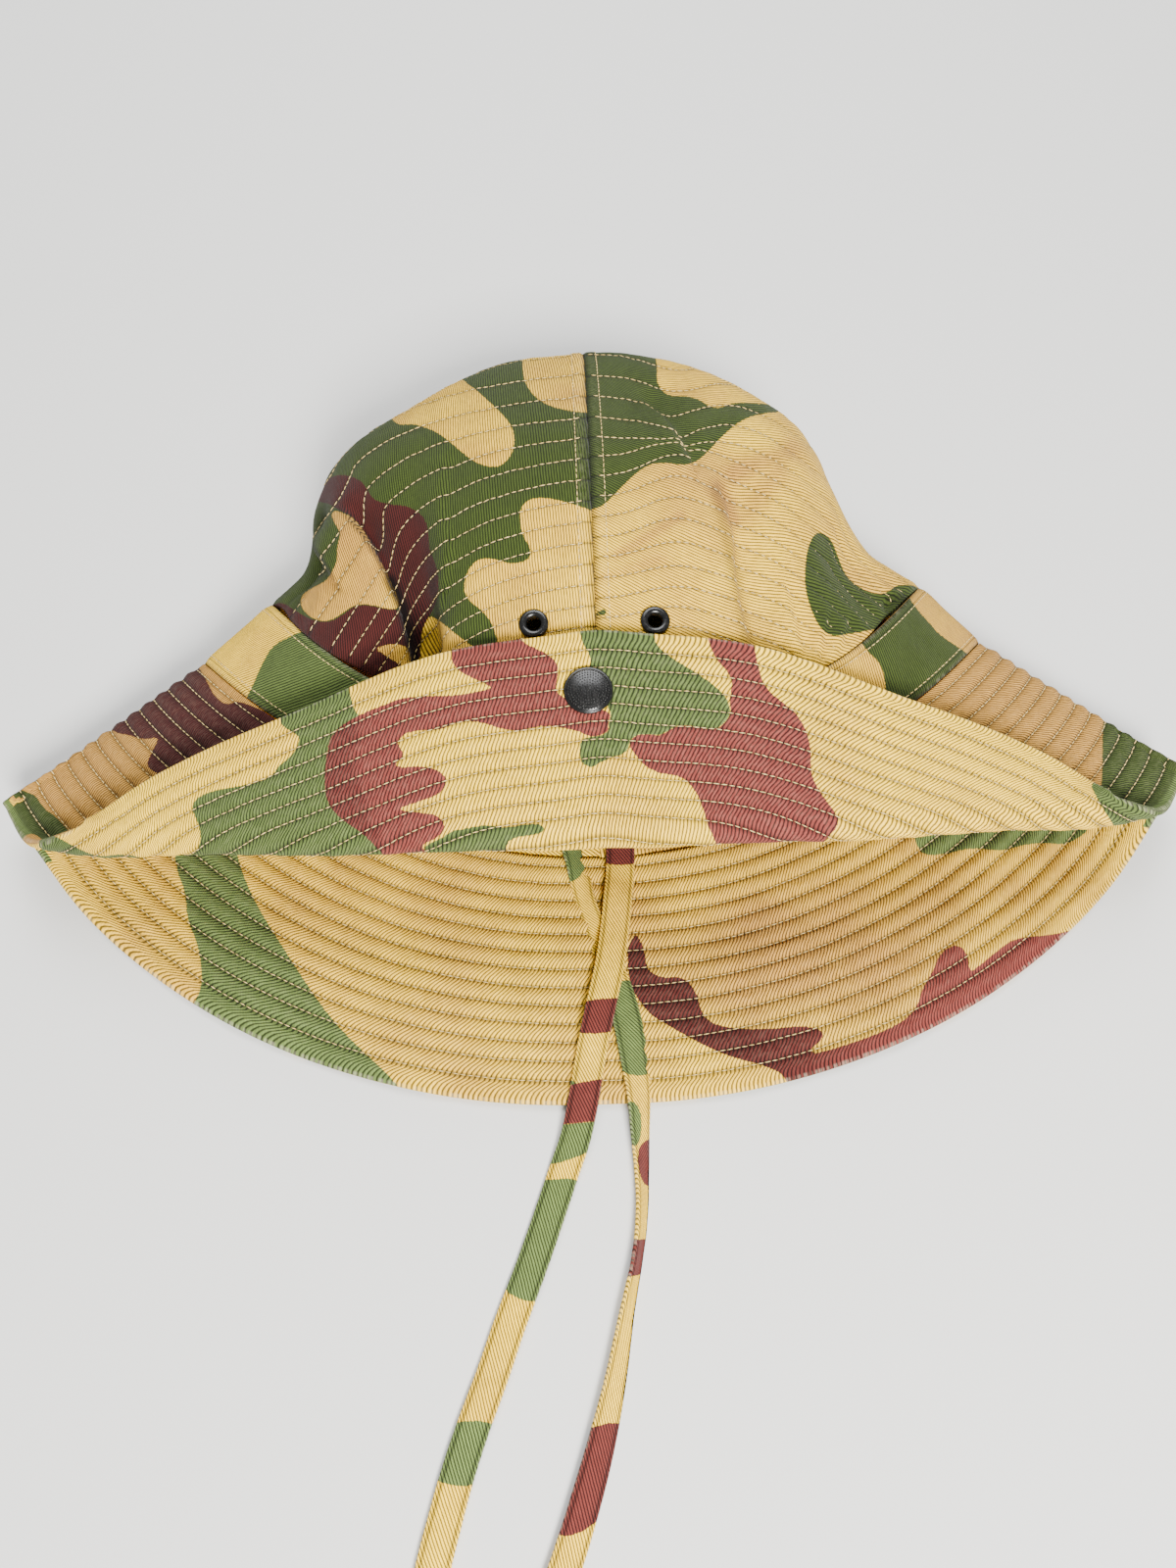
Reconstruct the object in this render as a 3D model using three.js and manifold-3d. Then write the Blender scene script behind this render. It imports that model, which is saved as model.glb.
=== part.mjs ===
// A safari hat that lies on its back: two crown panels, a hat band, a quilted brim turned up
// in front and snapped there, two eyelets and two flat neck ties.
// Millimetres, +Z up. The crown top points along +Y, the head opening faces -Y and the front
// of the hat faces up. The back of the crown and of the brim lies flat on the ground.
import * as THREE from 'three';
import { mergeVertices } from 'three/addons/utils/BufferGeometryUtils.js';
import Module from 'manifold-3d';

const wasm = await Module();
wasm.setup();

// Cloth walls
const CROWN_WALL = 1.8;
const BAND_WALL = 2.4;
const BRIM_WALL = 2.6;
const SEAM_GAP = 0.3;

// Crown, measured as it lies: from the band to the top, across and above the ground
const CROWN_LENGTH = 163;
const CROWN_HALF_WIDTH = 107;
const CROWN_HEIGHT = 66;
const SIDE_HEIGHT = 22;
const CROWN_ROUNDING = 0.85;
const TOP_CLOSES = 0.86;
const DENTS_FULL = 0.4;
const DENTS_END = 0.62;

// Head opening, where the band meets the brim
const HEAD_HALF_WIDTH = 127;
const HEAD_HEIGHT = 46;
const HEAD_SIDE_HEIGHT = 18;
const HEAD_BOW = 66;
const BOW_POWER = 2.2;
const BAND_WIDTH = 25;
const FRONT_SET_BACK = 2;
const FLAT_SHARE = 0.55;

// Brim
const BRIM_WIDTH = 76;
const FOLD_RADIUS = 2.6;

// Eyelets and snap
const EYELET_OUTER = 8.6;
const EYELET_BORE = 4.6;
const EYELET_FLANGE = 0.7;
const EYELET_BARREL = 0.6;
const EYELET_ROLL = 0.3;
const EYELET_SPACING = 35;
const EYELET_RISE = 25;
const SNAP_CAP = 14;
const SNAP_CAP_HEIGHT = 2.2;
const SNAP_POST = 3.6;
const SNAP_SOCKET = 9;
const SNAP_SOCKET_HEIGHT = 1.2;
const SNAP_FROM_EDGE = 18;
const SNAP_TURN = -0.9;

// Ties
const TIE_WIDTH = 9;
const TIE_THICKNESS = 1.6;
const TIE_STEPS = 36;

// Mesh fineness
const COLUMNS = 80;
const PANEL_COLUMNS = 38;
const BAND_ROWS = 2;
const LEG_ROWS = 3;
const BEND_ROWS = 4;
const FLAP_ROWS = 4;
const LATHE_SIDES = 20;
const DRILL_LENGTH = 14;
const NORMAL_TURN = 1.5;
const NORMAL_LEVEL = 0.02;
const HAIR = 0.001;

// Crown sections from the band to the top. front, side and back say how far the section lies
// along the crown, as shares of CROWN_LENGTH; left and right are half widths in shares of
// CROWN_HALF_WIDTH; height is a share of CROWN_HEIGHT and edge one of SIDE_HEIGHT.
const CROWN_SECTIONS = [
  { rise: 0.00, front: 0.000, side: 0.374, back: 0.030, left: 0.99, right: 1.02, height: 0.79, edge: 0.91 },
  { rise: 0.15, front: 0.165, side: 0.450, back: 0.180, left: 0.89, right: 0.86, height: 0.90, edge: 1.00 },
  { rise: 0.35, front: 0.365, side: 0.580, back: 0.370, left: 0.86, right: 0.78, height: 1.00, edge: 1.09 },
  { rise: 0.55, front: 0.565, side: 0.690, back: 0.565, left: 0.79, right: 0.73, height: 0.98, edge: 1.14 },
  { rise: 0.75, front: 0.765, side: 0.810, back: 0.755, left: 0.60, right: 0.61, height: 0.82, edge: 1.14 },
  { rise: 0.88, front: 0.905, side: 0.910, back: 0.880, left: 0.41, right: 0.42, height: 0.65, edge: 1.09 },
  { rise: 0.96, front: 0.968, side: 0.966, back: 0.955, left: 0.24, right: 0.24, height: 0.50, edge: 1.04 },
  { rise: 1.00, front: 0.990, side: 0.990, back: 0.990, left: 0.00, right: 0.00, height: 0.33, edge: 1.00 },
];

// Brim, from the front (turn 0) over the side (90) to the back (180). heading is the angle in
// plan at which the brim leaves the band, away from -Y; slope is its fall; reach is its laid
// width and fold the place of the turned-up bend, both as shares of BRIM_WIDTH; round is the
// bend's radius as a share of FOLD_RADIUS; turned and climb are the heading, from +Y, and the
// slope of the flap past the bend.
const BRIM_SECTIONS = [
  { turn: 0,   heading: 0,  slope: 3,   reach: 0.95, fold: 0.10, round: 1.0, turned: 0,  climb: 10.5 },
  { turn: 15,  heading: 26, slope: 0,   reach: 0.95, fold: 0.16, round: 1.0, turned: 9,  climb: 8 },
  { turn: 30,  heading: 37, slope: -4,  reach: 0.95, fold: 0.34, round: 1.0, turned: 20, climb: 1 },
  { turn: 45,  heading: 39, slope: -7,  reach: 0.97, fold: 0.55, round: 1.1, turned: 34, climb: -4 },
  { turn: 56,  heading: 40, slope: -8,  reach: 1.00, fold: 0.73, round: 1.5, turned: 50, climb: -8 },
  { turn: 66,  heading: 44, slope: -7,  reach: 1.00, fold: 0.87, round: 2.2, turned: 60, climb: -8 },
  { turn: 76,  heading: 49, slope: -6,  reach: 0.99, fold: 0.96, round: 3.2, turned: 66, climb: -6 },
  { turn: 90,  heading: 52, slope: -3,  reach: 0.97, fold: 1.10, round: 4.0, turned: 66, climb: 0 },
  { turn: 105, heading: 46, slope: -1,  reach: 0.99, fold: 1.20, round: 4.0, turned: 66, climb: 0 },
  { turn: 120, heading: 38, slope: 0,   reach: 1.04, fold: 1.20, round: 4.0, turned: 66, climb: 0 },
  { turn: 140, heading: 28, slope: 0,   reach: 1.04, fold: 1.20, round: 4.0, turned: 66, climb: 0 },
  { turn: 160, heading: 15, slope: 0,   reach: 1.01, fold: 1.20, round: 4.0, turned: 66, climb: 0 },
  { turn: 180, heading: 0,  slope: 0,   reach: 0.99, fold: 1.20, round: 4.0, turned: 66, climb: 0 },
];

// Dents of the slack crown: where each lies, how wide it is in turn and rise, and how deep,
// as a share of CROWN_HEIGHT. Left is a negative turn.
const CROWN_DENTS = [
  { turn: -34, rise: 0.03, wide: 7,  long: 0.28, depth: 0.24 },
  { turn: -54, rise: 0.22, wide: 9,  long: 0.16, depth: -0.07 },
  { turn: -72, rise: 0.16, wide: 8,  long: 0.14, depth: 0.10 },
  { turn: 31,  rise: 0.32, wide: 8,  long: 0.22, depth: 0.08 },
  { turn: 58,  rise: 0.10, wide: 9,  long: 0.14, depth: 0.06 },
  { turn: 12,  rise: 0.70, wide: 9,  long: 0.10, depth: 0.04 },
];

// The middle lines of the two ties, from the inside of the back band over the brim to the
// free ends.
const TIE_ROUTES = {
  tie_left: [
    [-10.5, -34, 3.6], [-10, -43, 3.6], [-9, -51, 3.6], [-7, -60, 3.6], [-4.5, -71, 3.6],
    [-0.5, -83, 3.6], [3, -94, 3.6], [6, -106, 3.6], [7.5, -117, 3.7], [8.5, -129, 3.9],
    [8.5, -139, 2.2], [8.5, -149, 1.0], [8, -161, 1.0], [6, -173, 1.0], [2.5, -187, 1.0],
    [-0.5, -200, 1.0], [-3.5, -211, 1.0], [-7, -222, 1.0], [-11, -233, 1.0], [-15, -243, 1.0],
    [-19.5, -253, 1.0],
  ],
  tie_right: [
    [7.5, -34, 3.6], [7, -44, 3.6], [6.5, -53, 3.6], [6, -61, 4.2], [5, -69, 5.7],
    [3.5, -80, 5.7], [1.5, -91, 5.7], [-1.5, -103, 5.7], [-3.5, -111, 5.2], [-5.5, -120, 4.2],
    [-7.5, -130, 3.9], [-10, -140, 2.2], [-13.5, -149, 1.0], [-18, -161, 1.0], [-23.5, -175, 1.0],
    [-29, -188, 1.0], [-34, -201, 1.0], [-39, -213, 1.0], [-43, -224, 1.0], [-46, -234, 1.0],
    [-48.5, -243, 1.0], [-50.5, -253, 1.0],
  ],
};

const COLORS = { cloth: '#b89a62', shade: '#8f7a4e', green: '#5d7038', black: '#151515' };

const rad = THREE.MathUtils.degToRad;
const mix = THREE.MathUtils.lerp;
const ease = (edge0, edge1, x) => THREE.MathUtils.smoothstep(x, edge0, edge1);

// Reads one column of a table at a place between its rows, with a smooth curve through them.
function column(table, key, place, name) {
  const last = table.length - 1;
  let row = 0;
  while (row < last - 1 && place > table[row + 1][key]) row += 1;
  const at = (i) => table[Math.min(Math.max(i, 0), last)];
  const span = at(row + 1)[key] - at(row)[key];
  const t = THREE.MathUtils.clamp((place - at(row)[key]) / span, 0, 1);
  const slope = (i) => {
    const step = at(i + 1)[key] - at(i - 1)[key];
    return step > 0 ? (at(i + 1)[name] - at(i - 1)[name]) / step : 0;
  };
  const a = at(row)[name];
  const b = at(row + 1)[name];
  const rise = (t * t * t - 2 * t * t + t) * span * slope(row);
  const fall = (t * t * t - t * t) * span * slope(row + 1);
  return a * (1 - t * t * (3 - 2 * t)) + b * t * t * (3 - 2 * t) + rise + fall;
}

// A turn runs from 0 at the front to +180 or -180 at the back, negative on the left.
const sideOf = (turn) => (turn < 0 ? -1 : 1);
const bow = (turn) => Math.pow(Math.abs(Math.sin(rad(turn))), BOW_POWER);

// Height of a flattened oval: a dome in front and, past the side, down to the ground.
function ovalHeight(turn, edge, top, rounding) {
  const c = Math.cos(rad(turn));
  if (c >= 0) return edge + (top - edge) * Math.pow(c, rounding);
  return edge * (1 - ease(0, FLAT_SHARE, -c));
}

// Seam between band and brim
function headSeam(turn) {
  const front = ease(-1, 1, Math.cos(rad(turn)));
  return new THREE.Vector3(
    HEAD_HALF_WIDTH * Math.sin(rad(turn)),
    HEAD_BOW * bow(turn) - FRONT_SET_BACK * front,
    ovalHeight(turn, HEAD_SIDE_HEIGHT, HEAD_HEIGHT, 1),
  );
}

// A point of the crown, from 0 at the band to 1 at the top
function crownPoint(turn, rise) {
  const side = sideOf(turn) < 0 ? 'left' : 'right';
  const read = (name) => column(CROWN_SECTIONS, 'rise', rise, name);
  const c = Math.cos(rad(turn));
  const along = c >= 0 ? read('front') : read('back');
  const middle = along + (read('side') - along) * bow(turn);
  const half = read(side) * CROWN_HALF_WIDTH;
  const top = read('height') * CROWN_HEIGHT;
  const edge = read('edge') * SIDE_HEIGHT;
  const closing = ease(TOP_CLOSES, 1, rise) * Math.min(edge, top);
  const low = ovalHeight(turn, edge, top, CROWN_ROUNDING);
  const sine = Math.sin(rad(turn));
  return new THREE.Vector3(
    Math.sign(sine) * half * Math.pow(Math.abs(sine), CROWN_ROUNDING),
    BAND_WIDTH - FRONT_SET_BACK + middle * CROWN_LENGTH,
    c >= 0 ? low : Math.max(low, closing * (1 - HAIR * c)),
  );
}

function crownDent(turn, rise) {
  let depth = 0;
  for (const dent of CROWN_DENTS) {
    const across = (turn - dent.turn) / dent.wide;
    const along = (rise - dent.rise) / dent.long;
    depth += dent.depth * CROWN_HEIGHT * Math.exp(-across * across - along * along);
  }
  return depth;
}

// A point of the brim's top side, from 0 at the band to 1 at the edge
function brimPoint(turn, reach) {
  const half = Math.abs(turn);
  const read = (name) => column(BRIM_SECTIONS, 'turn', half, name);
  const flat = (heading, slope, forward) => new THREE.Vector3(
    sideOf(turn) * Math.sin(rad(heading)) * Math.cos(rad(slope)),
    forward * Math.cos(rad(heading)) * Math.cos(rad(slope)),
    Math.sin(rad(slope)),
  );
  const out = flat(read('heading'), read('slope'), -1);
  const back = flat(read('turned'), read('climb'), 1);
  const radius = read('round') * FOLD_RADIUS;
  const bend = Math.PI * radius;
  const fold = read('fold') * BRIM_WIDTH;
  const walked = reach * read('reach') * BRIM_WIDTH;
  const point = headSeam(turn).addScaledVector(out, Math.min(walked, fold));
  if (walked > fold) {
    const angle = Math.min((walked - fold) / radius, Math.PI);
    point.addScaledVector(out, radius * Math.sin(angle));
    point.z += radius * (1 - Math.cos(angle));
  }
  if (walked > fold + bend) point.addScaledVector(back, walked - fold - bend);
  return point;
}

// The whole outer skin: -1 is the brim's edge, 0 the head seam, 1 the crown seam, 2 the top.
function skin(turn, level) {
  const wrapped = turn > 180 ? turn - 360 : turn < -180 ? turn + 360 : turn;
  if (level <= 0) return brimPoint(wrapped, -level);
  if (level < 1) return headSeam(wrapped).lerp(crownPoint(wrapped, 0), level);
  const rise = level - 1;
  const point = crownPoint(wrapped, rise);
  const half = Math.abs(wrapped) / 180;
  const inward = new THREE.Vector3(-Math.sin(rad(wrapped)), 0, -Math.cos(rad(wrapped)));
  return point.addScaledVector(inward, crownDent(wrapped, rise) * ease(DENTS_END, DENTS_FULL, half));
}

function skinNormal(turn, level) {
  const around = skin(turn + NORMAL_TURN, level).sub(skin(turn - NORMAL_TURN, level));
  const above = skin(turn, Math.min(level + NORMAL_LEVEL, 2 - NORMAL_LEVEL / 4));
  const below = skin(turn, Math.max(level - NORMAL_LEVEL, -1));
  const normal = around.cross(above.sub(below)).normalize();
  const fromMiddle = Math.min(Math.abs(turn), 180 - Math.abs(turn));
  if (fromMiddle < HAIR) normal.setX(0).normalize();
  return normal;
}

function indexed(points, faces) {
  const geometry = new THREE.BufferGeometry();
  const flat = points.flatMap((p) => [p.x, p.y, p.z]);
  geometry.setAttribute('position', new THREE.Float32BufferAttribute(flat, 3));
  geometry.setIndex(faces.flat());
  return geometry;
}

// A closed ring wall: levels are read for each turn, so that rows can crowd at the bend.
function ringWall(levelsAt, wall) {
  const points = [];
  const faces = [];
  const rows = levelsAt(0).length;
  for (let i = 0; i < COLUMNS; i += 1) {
    const turn = -180 + (360 * i) / COLUMNS;
    for (const level of levelsAt(turn)) {
      const outer = skin(turn, level);
      points.push(outer, outer.clone().addScaledVector(skinNormal(turn, level), -wall));
    }
  }
  const at = (i, j, inner) => 2 * ((i % COLUMNS) * rows + j) + inner;
  const quad = (a, b, c, d) => faces.push([a, b, c], [a, c, d]);
  for (let i = 0; i < COLUMNS; i += 1) {
    for (let j = 0; j < rows - 1; j += 1) {
      quad(at(i, j, 0), at(i + 1, j, 0), at(i + 1, j + 1, 0), at(i, j + 1, 0));
      quad(at(i, j, 1), at(i, j + 1, 1), at(i + 1, j + 1, 1), at(i + 1, j, 1));
    }
    quad(at(i, 0, 0), at(i, 0, 1), at(i + 1, 0, 1), at(i + 1, 0, 0));
    quad(at(i, rows - 1, 0), at(i + 1, rows - 1, 0), at(i + 1, rows - 1, 1), at(i, rows - 1, 1));
  }
  return indexed(points, faces);
}

// Levels of the brim for one turn, from the edge to the band, crowded where it bends.
function brimLevels(turn) {
  const read = (name) => column(BRIM_SECTIONS, 'turn', Math.abs(turn), name);
  const start = Math.min(read('fold') / read('reach'), 0.84);
  const round = (Math.PI * FOLD_RADIUS * read('round')) / (BRIM_WIDTH * read('reach'));
  const bend = Math.min(round, (1 - start) * 0.7);
  const first = SEAM_GAP / 2 / BRIM_WIDTH;
  const levels = [];
  for (let j = 0; j < LEG_ROWS; j += 1) levels.push(mix(first, start, j / LEG_ROWS));
  for (let j = 0; j < BEND_ROWS; j += 1) levels.push(start + (bend * j) / BEND_ROWS);
  for (let j = 0; j <= FLAP_ROWS; j += 1) levels.push(mix(start + bend, 1, j / FLAP_ROWS));
  return levels.map((level) => -level).reverse();
}

function bandLevels() {
  const gap = SEAM_GAP / 2 / BAND_WIDTH;
  return Array.from({ length: BAND_ROWS + 1 }, (_, j) => mix(gap, 1 - gap, j / BAND_ROWS));
}

const CROWN_ROWS = [0, 0.07, 0.14, 0.22, 0.3, 0.4, 0.5, 0.6, 0.7, 0.78, 0.86, 0.92, 0.965];

// One crown panel: a half dome that closes in one point at the top.
function panelWall(side) {
  const points = [];
  const faces = [];
  const gap = SEAM_GAP / 2 / CROWN_LENGTH;
  const levels = CROWN_ROWS.map((rise) => 1 + Math.max(rise, gap));
  const add = (turn, level) => {
    const outer = skin(side * turn, level);
    const normal = skinNormal(side * turn, level);
    const inner = outer.clone().addScaledVector(normal, -CROWN_WALL);
    for (const p of [outer, inner]) p.x = side * Math.max(SEAM_GAP / 2, side * p.x + SEAM_GAP / 2);
    points.push(outer, inner);
  };
  for (let i = 0; i <= PANEL_COLUMNS; i += 1) {
    for (const level of levels) add((180 * i) / PANEL_COLUMNS, level);
  }
  const rows = levels.length;
  const pole = points.length;
  const top = crownPoint(side * HAIR, 1).setX((side * SEAM_GAP) / 2);
  points.push(top, top.clone().setY(top.y - CROWN_WALL));
  const at = (i, j, inner) => 2 * (i * rows + j) + inner;
  const face = (a, b, c) => faces.push(side > 0 ? [a, b, c] : [a, c, b]);
  const quad = (a, b, c, d) => {
    face(a, b, c);
    face(a, c, d);
  };
  for (let i = 0; i < PANEL_COLUMNS; i += 1) {
    for (let j = 0; j < rows - 1; j += 1) {
      quad(at(i, j, 0), at(i + 1, j, 0), at(i + 1, j + 1, 0), at(i, j + 1, 0));
      quad(at(i, j, 1), at(i, j + 1, 1), at(i + 1, j + 1, 1), at(i + 1, j, 1));
    }
    quad(at(i, 0, 0), at(i, 0, 1), at(i + 1, 0, 1), at(i + 1, 0, 0));
    face(at(i, rows - 1, 0), at(i + 1, rows - 1, 0), pole);
    face(at(i + 1, rows - 1, 1), at(i, rows - 1, 1), pole + 1);
  }
  for (const [i, flip] of [[0, false], [PANEL_COLUMNS, true]]) {
    const strip = (a, b, c, d) => (flip ? quad(a, d, c, b) : quad(a, b, c, d));
    for (let j = 0; j < rows - 1; j += 1) strip(at(i, j, 0), at(i, j + 1, 0), at(i, j + 1, 1), at(i, j, 1));
    strip(at(i, rows - 1, 0), pole, pole + 1, at(i, rows - 1, 1));
  }
  return indexed(points, faces);
}

function toManifold(geometry) {
  const bare = geometry.clone();
  bare.deleteAttribute('normal');
  bare.deleteAttribute('uv');
  const merged = mergeVertices(bare, 1e-4);
  return new wasm.Manifold(new wasm.Mesh({
    numProp: 3,
    vertProperties: new Float32Array(merged.attributes.position.array),
    triVerts: new Uint32Array(merged.index.array),
  }));
}

function fromManifold(solid) {
  const mesh = solid.getMesh();
  const geometry = new THREE.BufferGeometry();
  geometry.setAttribute('position', new THREE.BufferAttribute(mesh.vertProperties, 3));
  geometry.setIndex(new THREE.BufferAttribute(mesh.triVerts, 1));
  return geometry;
}

// Turns a shape made about +Z so that it stands on the skin at a point.
function placed(geometry, point, normal) {
  const turn = new THREE.Quaternion().setFromUnitVectors(new THREE.Vector3(0, 0, 1), normal);
  return geometry.clone().applyQuaternion(turn).translate(point.x, point.y, point.z);
}

function lathe(profile) {
  const points = profile.map(([r, z]) => new THREE.Vector2(r, z));
  return new THREE.LatheGeometry(points, LATHE_SIDES).rotateX(Math.PI / 2);
}

function drilled(geometry, tools) {
  let solid = toManifold(geometry);
  for (const tool of tools) solid = solid.subtract(toManifold(tool));
  return fromManifold(solid);
}

function drill(point, normal, diameter) {
  const cylinder = new THREE.CylinderGeometry(diameter / 2, diameter / 2, DRILL_LENGTH, LATHE_SIDES);
  return placed(cylinder.rotateX(Math.PI / 2), point, normal);
}

// Level and turn of a crown point that lies a given way from the crown seam and from the
// centre seam, in front.
function crownPlace(across, along) {
  const rise = along / CROWN_LENGTH;
  const half = column(CROWN_SECTIONS, 'rise', rise, across < 0 ? 'left' : 'right') * CROWN_HALF_WIDTH;
  const sine = Math.pow(Math.abs(across) / half, 1 / CROWN_ROUNDING);
  return { turn: Math.sign(across) * THREE.MathUtils.radToDeg(Math.asin(sine)), level: 1 + rise };
}

const eyelets = [-1, 1].map((side) => {
  const place = crownPlace((side * EYELET_SPACING) / 2, EYELET_RISE);
  return {
    name: side < 0 ? 'eyelet_left' : 'eyelet_right',
    side,
    point: skin(place.turn, place.level),
    normal: skinNormal(place.turn, place.level),
  };
});

function eyeletShape() {
  const bore = EYELET_BORE / 2;
  const outer = EYELET_OUTER / 2;
  const barrel = bore + EYELET_BARREL;
  const top = SEAM_GAP + EYELET_FLANGE;
  const under = -CROWN_WALL - SEAM_GAP;
  return lathe([
    [bore, under - EYELET_FLANGE], [outer - 2 * EYELET_ROLL, under - EYELET_FLANGE],
    [outer - EYELET_ROLL, under], [barrel, under], [barrel, SEAM_GAP], [outer, SEAM_GAP],
    [outer, SEAM_GAP + EYELET_ROLL], [(outer + bore) / 2, top], [bore, top - EYELET_ROLL],
    [bore, under - EYELET_FLANGE],
  ]);
}

// The snap holds the flap near its edge: a cap on the flap, its socket below, and the stud
// between the socket and the crown.
const snapLevel = -(1 - SNAP_FROM_EDGE / BRIM_WIDTH);
const snapPoint = skin(SNAP_TURN, snapLevel);
const snapNormal = skinNormal(SNAP_TURN, snapLevel).negate();

// How far below the flap the crown and band lie, at their highest within the snap's width
function clearBelowSnap() {
  let clear = Infinity;
  for (let turn = -5; turn <= 5; turn += 1) {
    for (let level = 0; level <= 1.3; level += 0.02) {
      const offset = skin(turn + SNAP_TURN, level).sub(snapPoint);
      const depth = -offset.dot(snapNormal);
      const beside = offset.addScaledVector(snapNormal, depth).length();
      if (beside < SNAP_SOCKET / 2) clear = Math.min(clear, depth);
    }
  }
  return clear;
}

function snapStudShape() {
  const top = -SEAM_GAP - SNAP_SOCKET_HEIGHT - SEAM_GAP;
  const bottom = SEAM_GAP - clearBelowSnap();
  const foot = SNAP_SOCKET / 2;
  const neck = SNAP_POST / 2 + EYELET_BARREL;
  return lathe([
    [0, bottom], [foot, bottom], [foot, bottom + (top - bottom) * 0.4], [neck, bottom + (top - bottom) * 0.6],
    [neck, top], [0, top],
  ]);
}

function snapCapShape() {
  const face = BRIM_WALL + SEAM_GAP;
  const post = SNAP_POST / 2;
  const cap = SNAP_CAP / 2;
  const under = -SEAM_GAP;
  return lathe([
    [0, under - SNAP_SOCKET_HEIGHT], [SNAP_SOCKET / 2, under - SNAP_SOCKET_HEIGHT],
    [SNAP_SOCKET / 2, under], [post, under], [post, face], [cap, face], [cap, face + 0.5],
    [cap * 0.86, face + SNAP_CAP_HEIGHT * 0.72], [cap * 0.5, face + SNAP_CAP_HEIGHT * 0.94],
    [0, face + SNAP_CAP_HEIGHT],
  ]);
}

function tieShape() {
  const w = TIE_WIDTH / 2;
  const h = TIE_THICKNESS / 2;
  const shape = new THREE.Shape();
  const corners = [[h, 0.8], [h, -0.8], [h * 0.6, -1], [-h * 0.6, -1], [-h, -0.8], [-h, 0.8],
    [-h * 0.6, 1], [h * 0.6, 1]];
  corners.forEach(([x, y], i) => (i ? shape.lineTo(x, y * w) : shape.moveTo(x, y * w)));
  shape.closePath();
  return shape;
}

function tie(route) {
  const path = new THREE.CatmullRomCurve3(route.map((p) => new THREE.Vector3(...p)));
  return new THREE.ExtrudeGeometry(tieShape(), { steps: TIE_STEPS, extrudePath: path });
}

function named(name, geometry, color, roughness, metalness = 0) {
  const material = new THREE.MeshStandardMaterial({ color, roughness, metalness });
  const mesh = new THREE.Mesh(geometry, material);
  mesh.name = name;
  return mesh;
}

const holes = (side) => eyelets.filter((e) => e.side === side)
  .map((e) => drill(e.point, e.normal, EYELET_BORE + 2 * EYELET_BARREL + 2 * SEAM_GAP));

const hat = new THREE.Group();
hat.add(
  named('crown_left', drilled(panelWall(-1), holes(-1)), COLORS.green, 0.9),
  named('crown_right', drilled(panelWall(1), holes(1)), COLORS.cloth, 0.9),
  named('hat_band', ringWall(bandLevels, BAND_WALL), COLORS.shade, 0.9),
  named('brim', drilled(ringWall(brimLevels, BRIM_WALL),
    [drill(snapPoint, snapNormal, SNAP_POST + 2 * SEAM_GAP)]), COLORS.cloth, 0.9),
  named('snap_cap', placed(snapCapShape(), snapPoint, snapNormal), COLORS.black, 0.35, 0.6),
  named('snap_stud', placed(snapStudShape(), snapPoint, snapNormal), COLORS.black, 0.35, 0.6),
);
for (const { name, point, normal } of eyelets) {
  hat.add(named(name, placed(eyeletShape(), point, normal), COLORS.black, 0.35, 0.6));
}

// The hat stands with the middle of its own box over the origin.
const box = new THREE.Box3().setFromObject(hat);
const centre = box.getCenter(new THREE.Vector3());
hat.position.set(-centre.x, -centre.y, 0);

const ties = new THREE.Group();
for (const [name, route] of Object.entries(TIE_ROUTES)) {
  ties.add(named(name, tie(route), COLORS.cloth, 0.9));
}

const model = new THREE.Group();
model.add(hat, ties);
export default model;
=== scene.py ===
# %% [markdown]
# # A safari hat, laid on its back
#
# The real hat is sewn from cotton twill: two crown panels joined over the head, a band round
# the head opening and a stiff quilted brim. The front of the brim is turned up and held by a
# black snap, and two flat ties come out of the opening. The solids of the hat are already
# fixed. This lesson gives each of them its cloth: the sewn channels, the puckers, the printed
# patches and every stitch of thread.

# %% Load the fixed solids
import math

import bmesh
import bpy
import numpy as np
from mathutils import Euler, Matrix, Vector, noise


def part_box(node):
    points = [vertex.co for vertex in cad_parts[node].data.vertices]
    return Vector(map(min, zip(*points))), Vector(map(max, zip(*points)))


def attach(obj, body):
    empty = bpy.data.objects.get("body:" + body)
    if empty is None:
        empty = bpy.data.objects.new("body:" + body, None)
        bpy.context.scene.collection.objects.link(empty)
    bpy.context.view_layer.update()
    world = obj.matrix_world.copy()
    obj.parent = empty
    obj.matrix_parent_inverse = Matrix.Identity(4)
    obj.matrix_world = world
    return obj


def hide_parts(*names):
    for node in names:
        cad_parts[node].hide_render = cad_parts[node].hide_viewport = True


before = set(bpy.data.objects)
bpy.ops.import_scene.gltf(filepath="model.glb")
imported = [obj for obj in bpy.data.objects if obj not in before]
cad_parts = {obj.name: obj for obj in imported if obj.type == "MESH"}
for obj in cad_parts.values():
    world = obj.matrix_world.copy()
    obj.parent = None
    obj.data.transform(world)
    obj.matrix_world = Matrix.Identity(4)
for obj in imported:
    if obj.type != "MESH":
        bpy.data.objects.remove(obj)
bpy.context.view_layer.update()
MM = 0.001
print("solids:", ", ".join(sorted(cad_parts)))

# %% [markdown]
# ## The camera
#
# The hat is seen from above and a little from the front, as someone sees it who stands at the
# table. The camera could be set up last, but here it is made first: the rows of stitching, the
# folds and the printed patches are charted later on the picture that it sees.

# %% Place the camera
PICTURE_WIDTH = 1200
PICTURE_HEIGHT = 1600
CAMERA_PLACE = Vector((-0.0081, -0.1910, 0.3507))
CAMERA_ELEVATION = 65.0
CAMERA_TURN = 1.8
SENSOR_WIDTH = 36.0
LENS = 36.0

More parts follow.
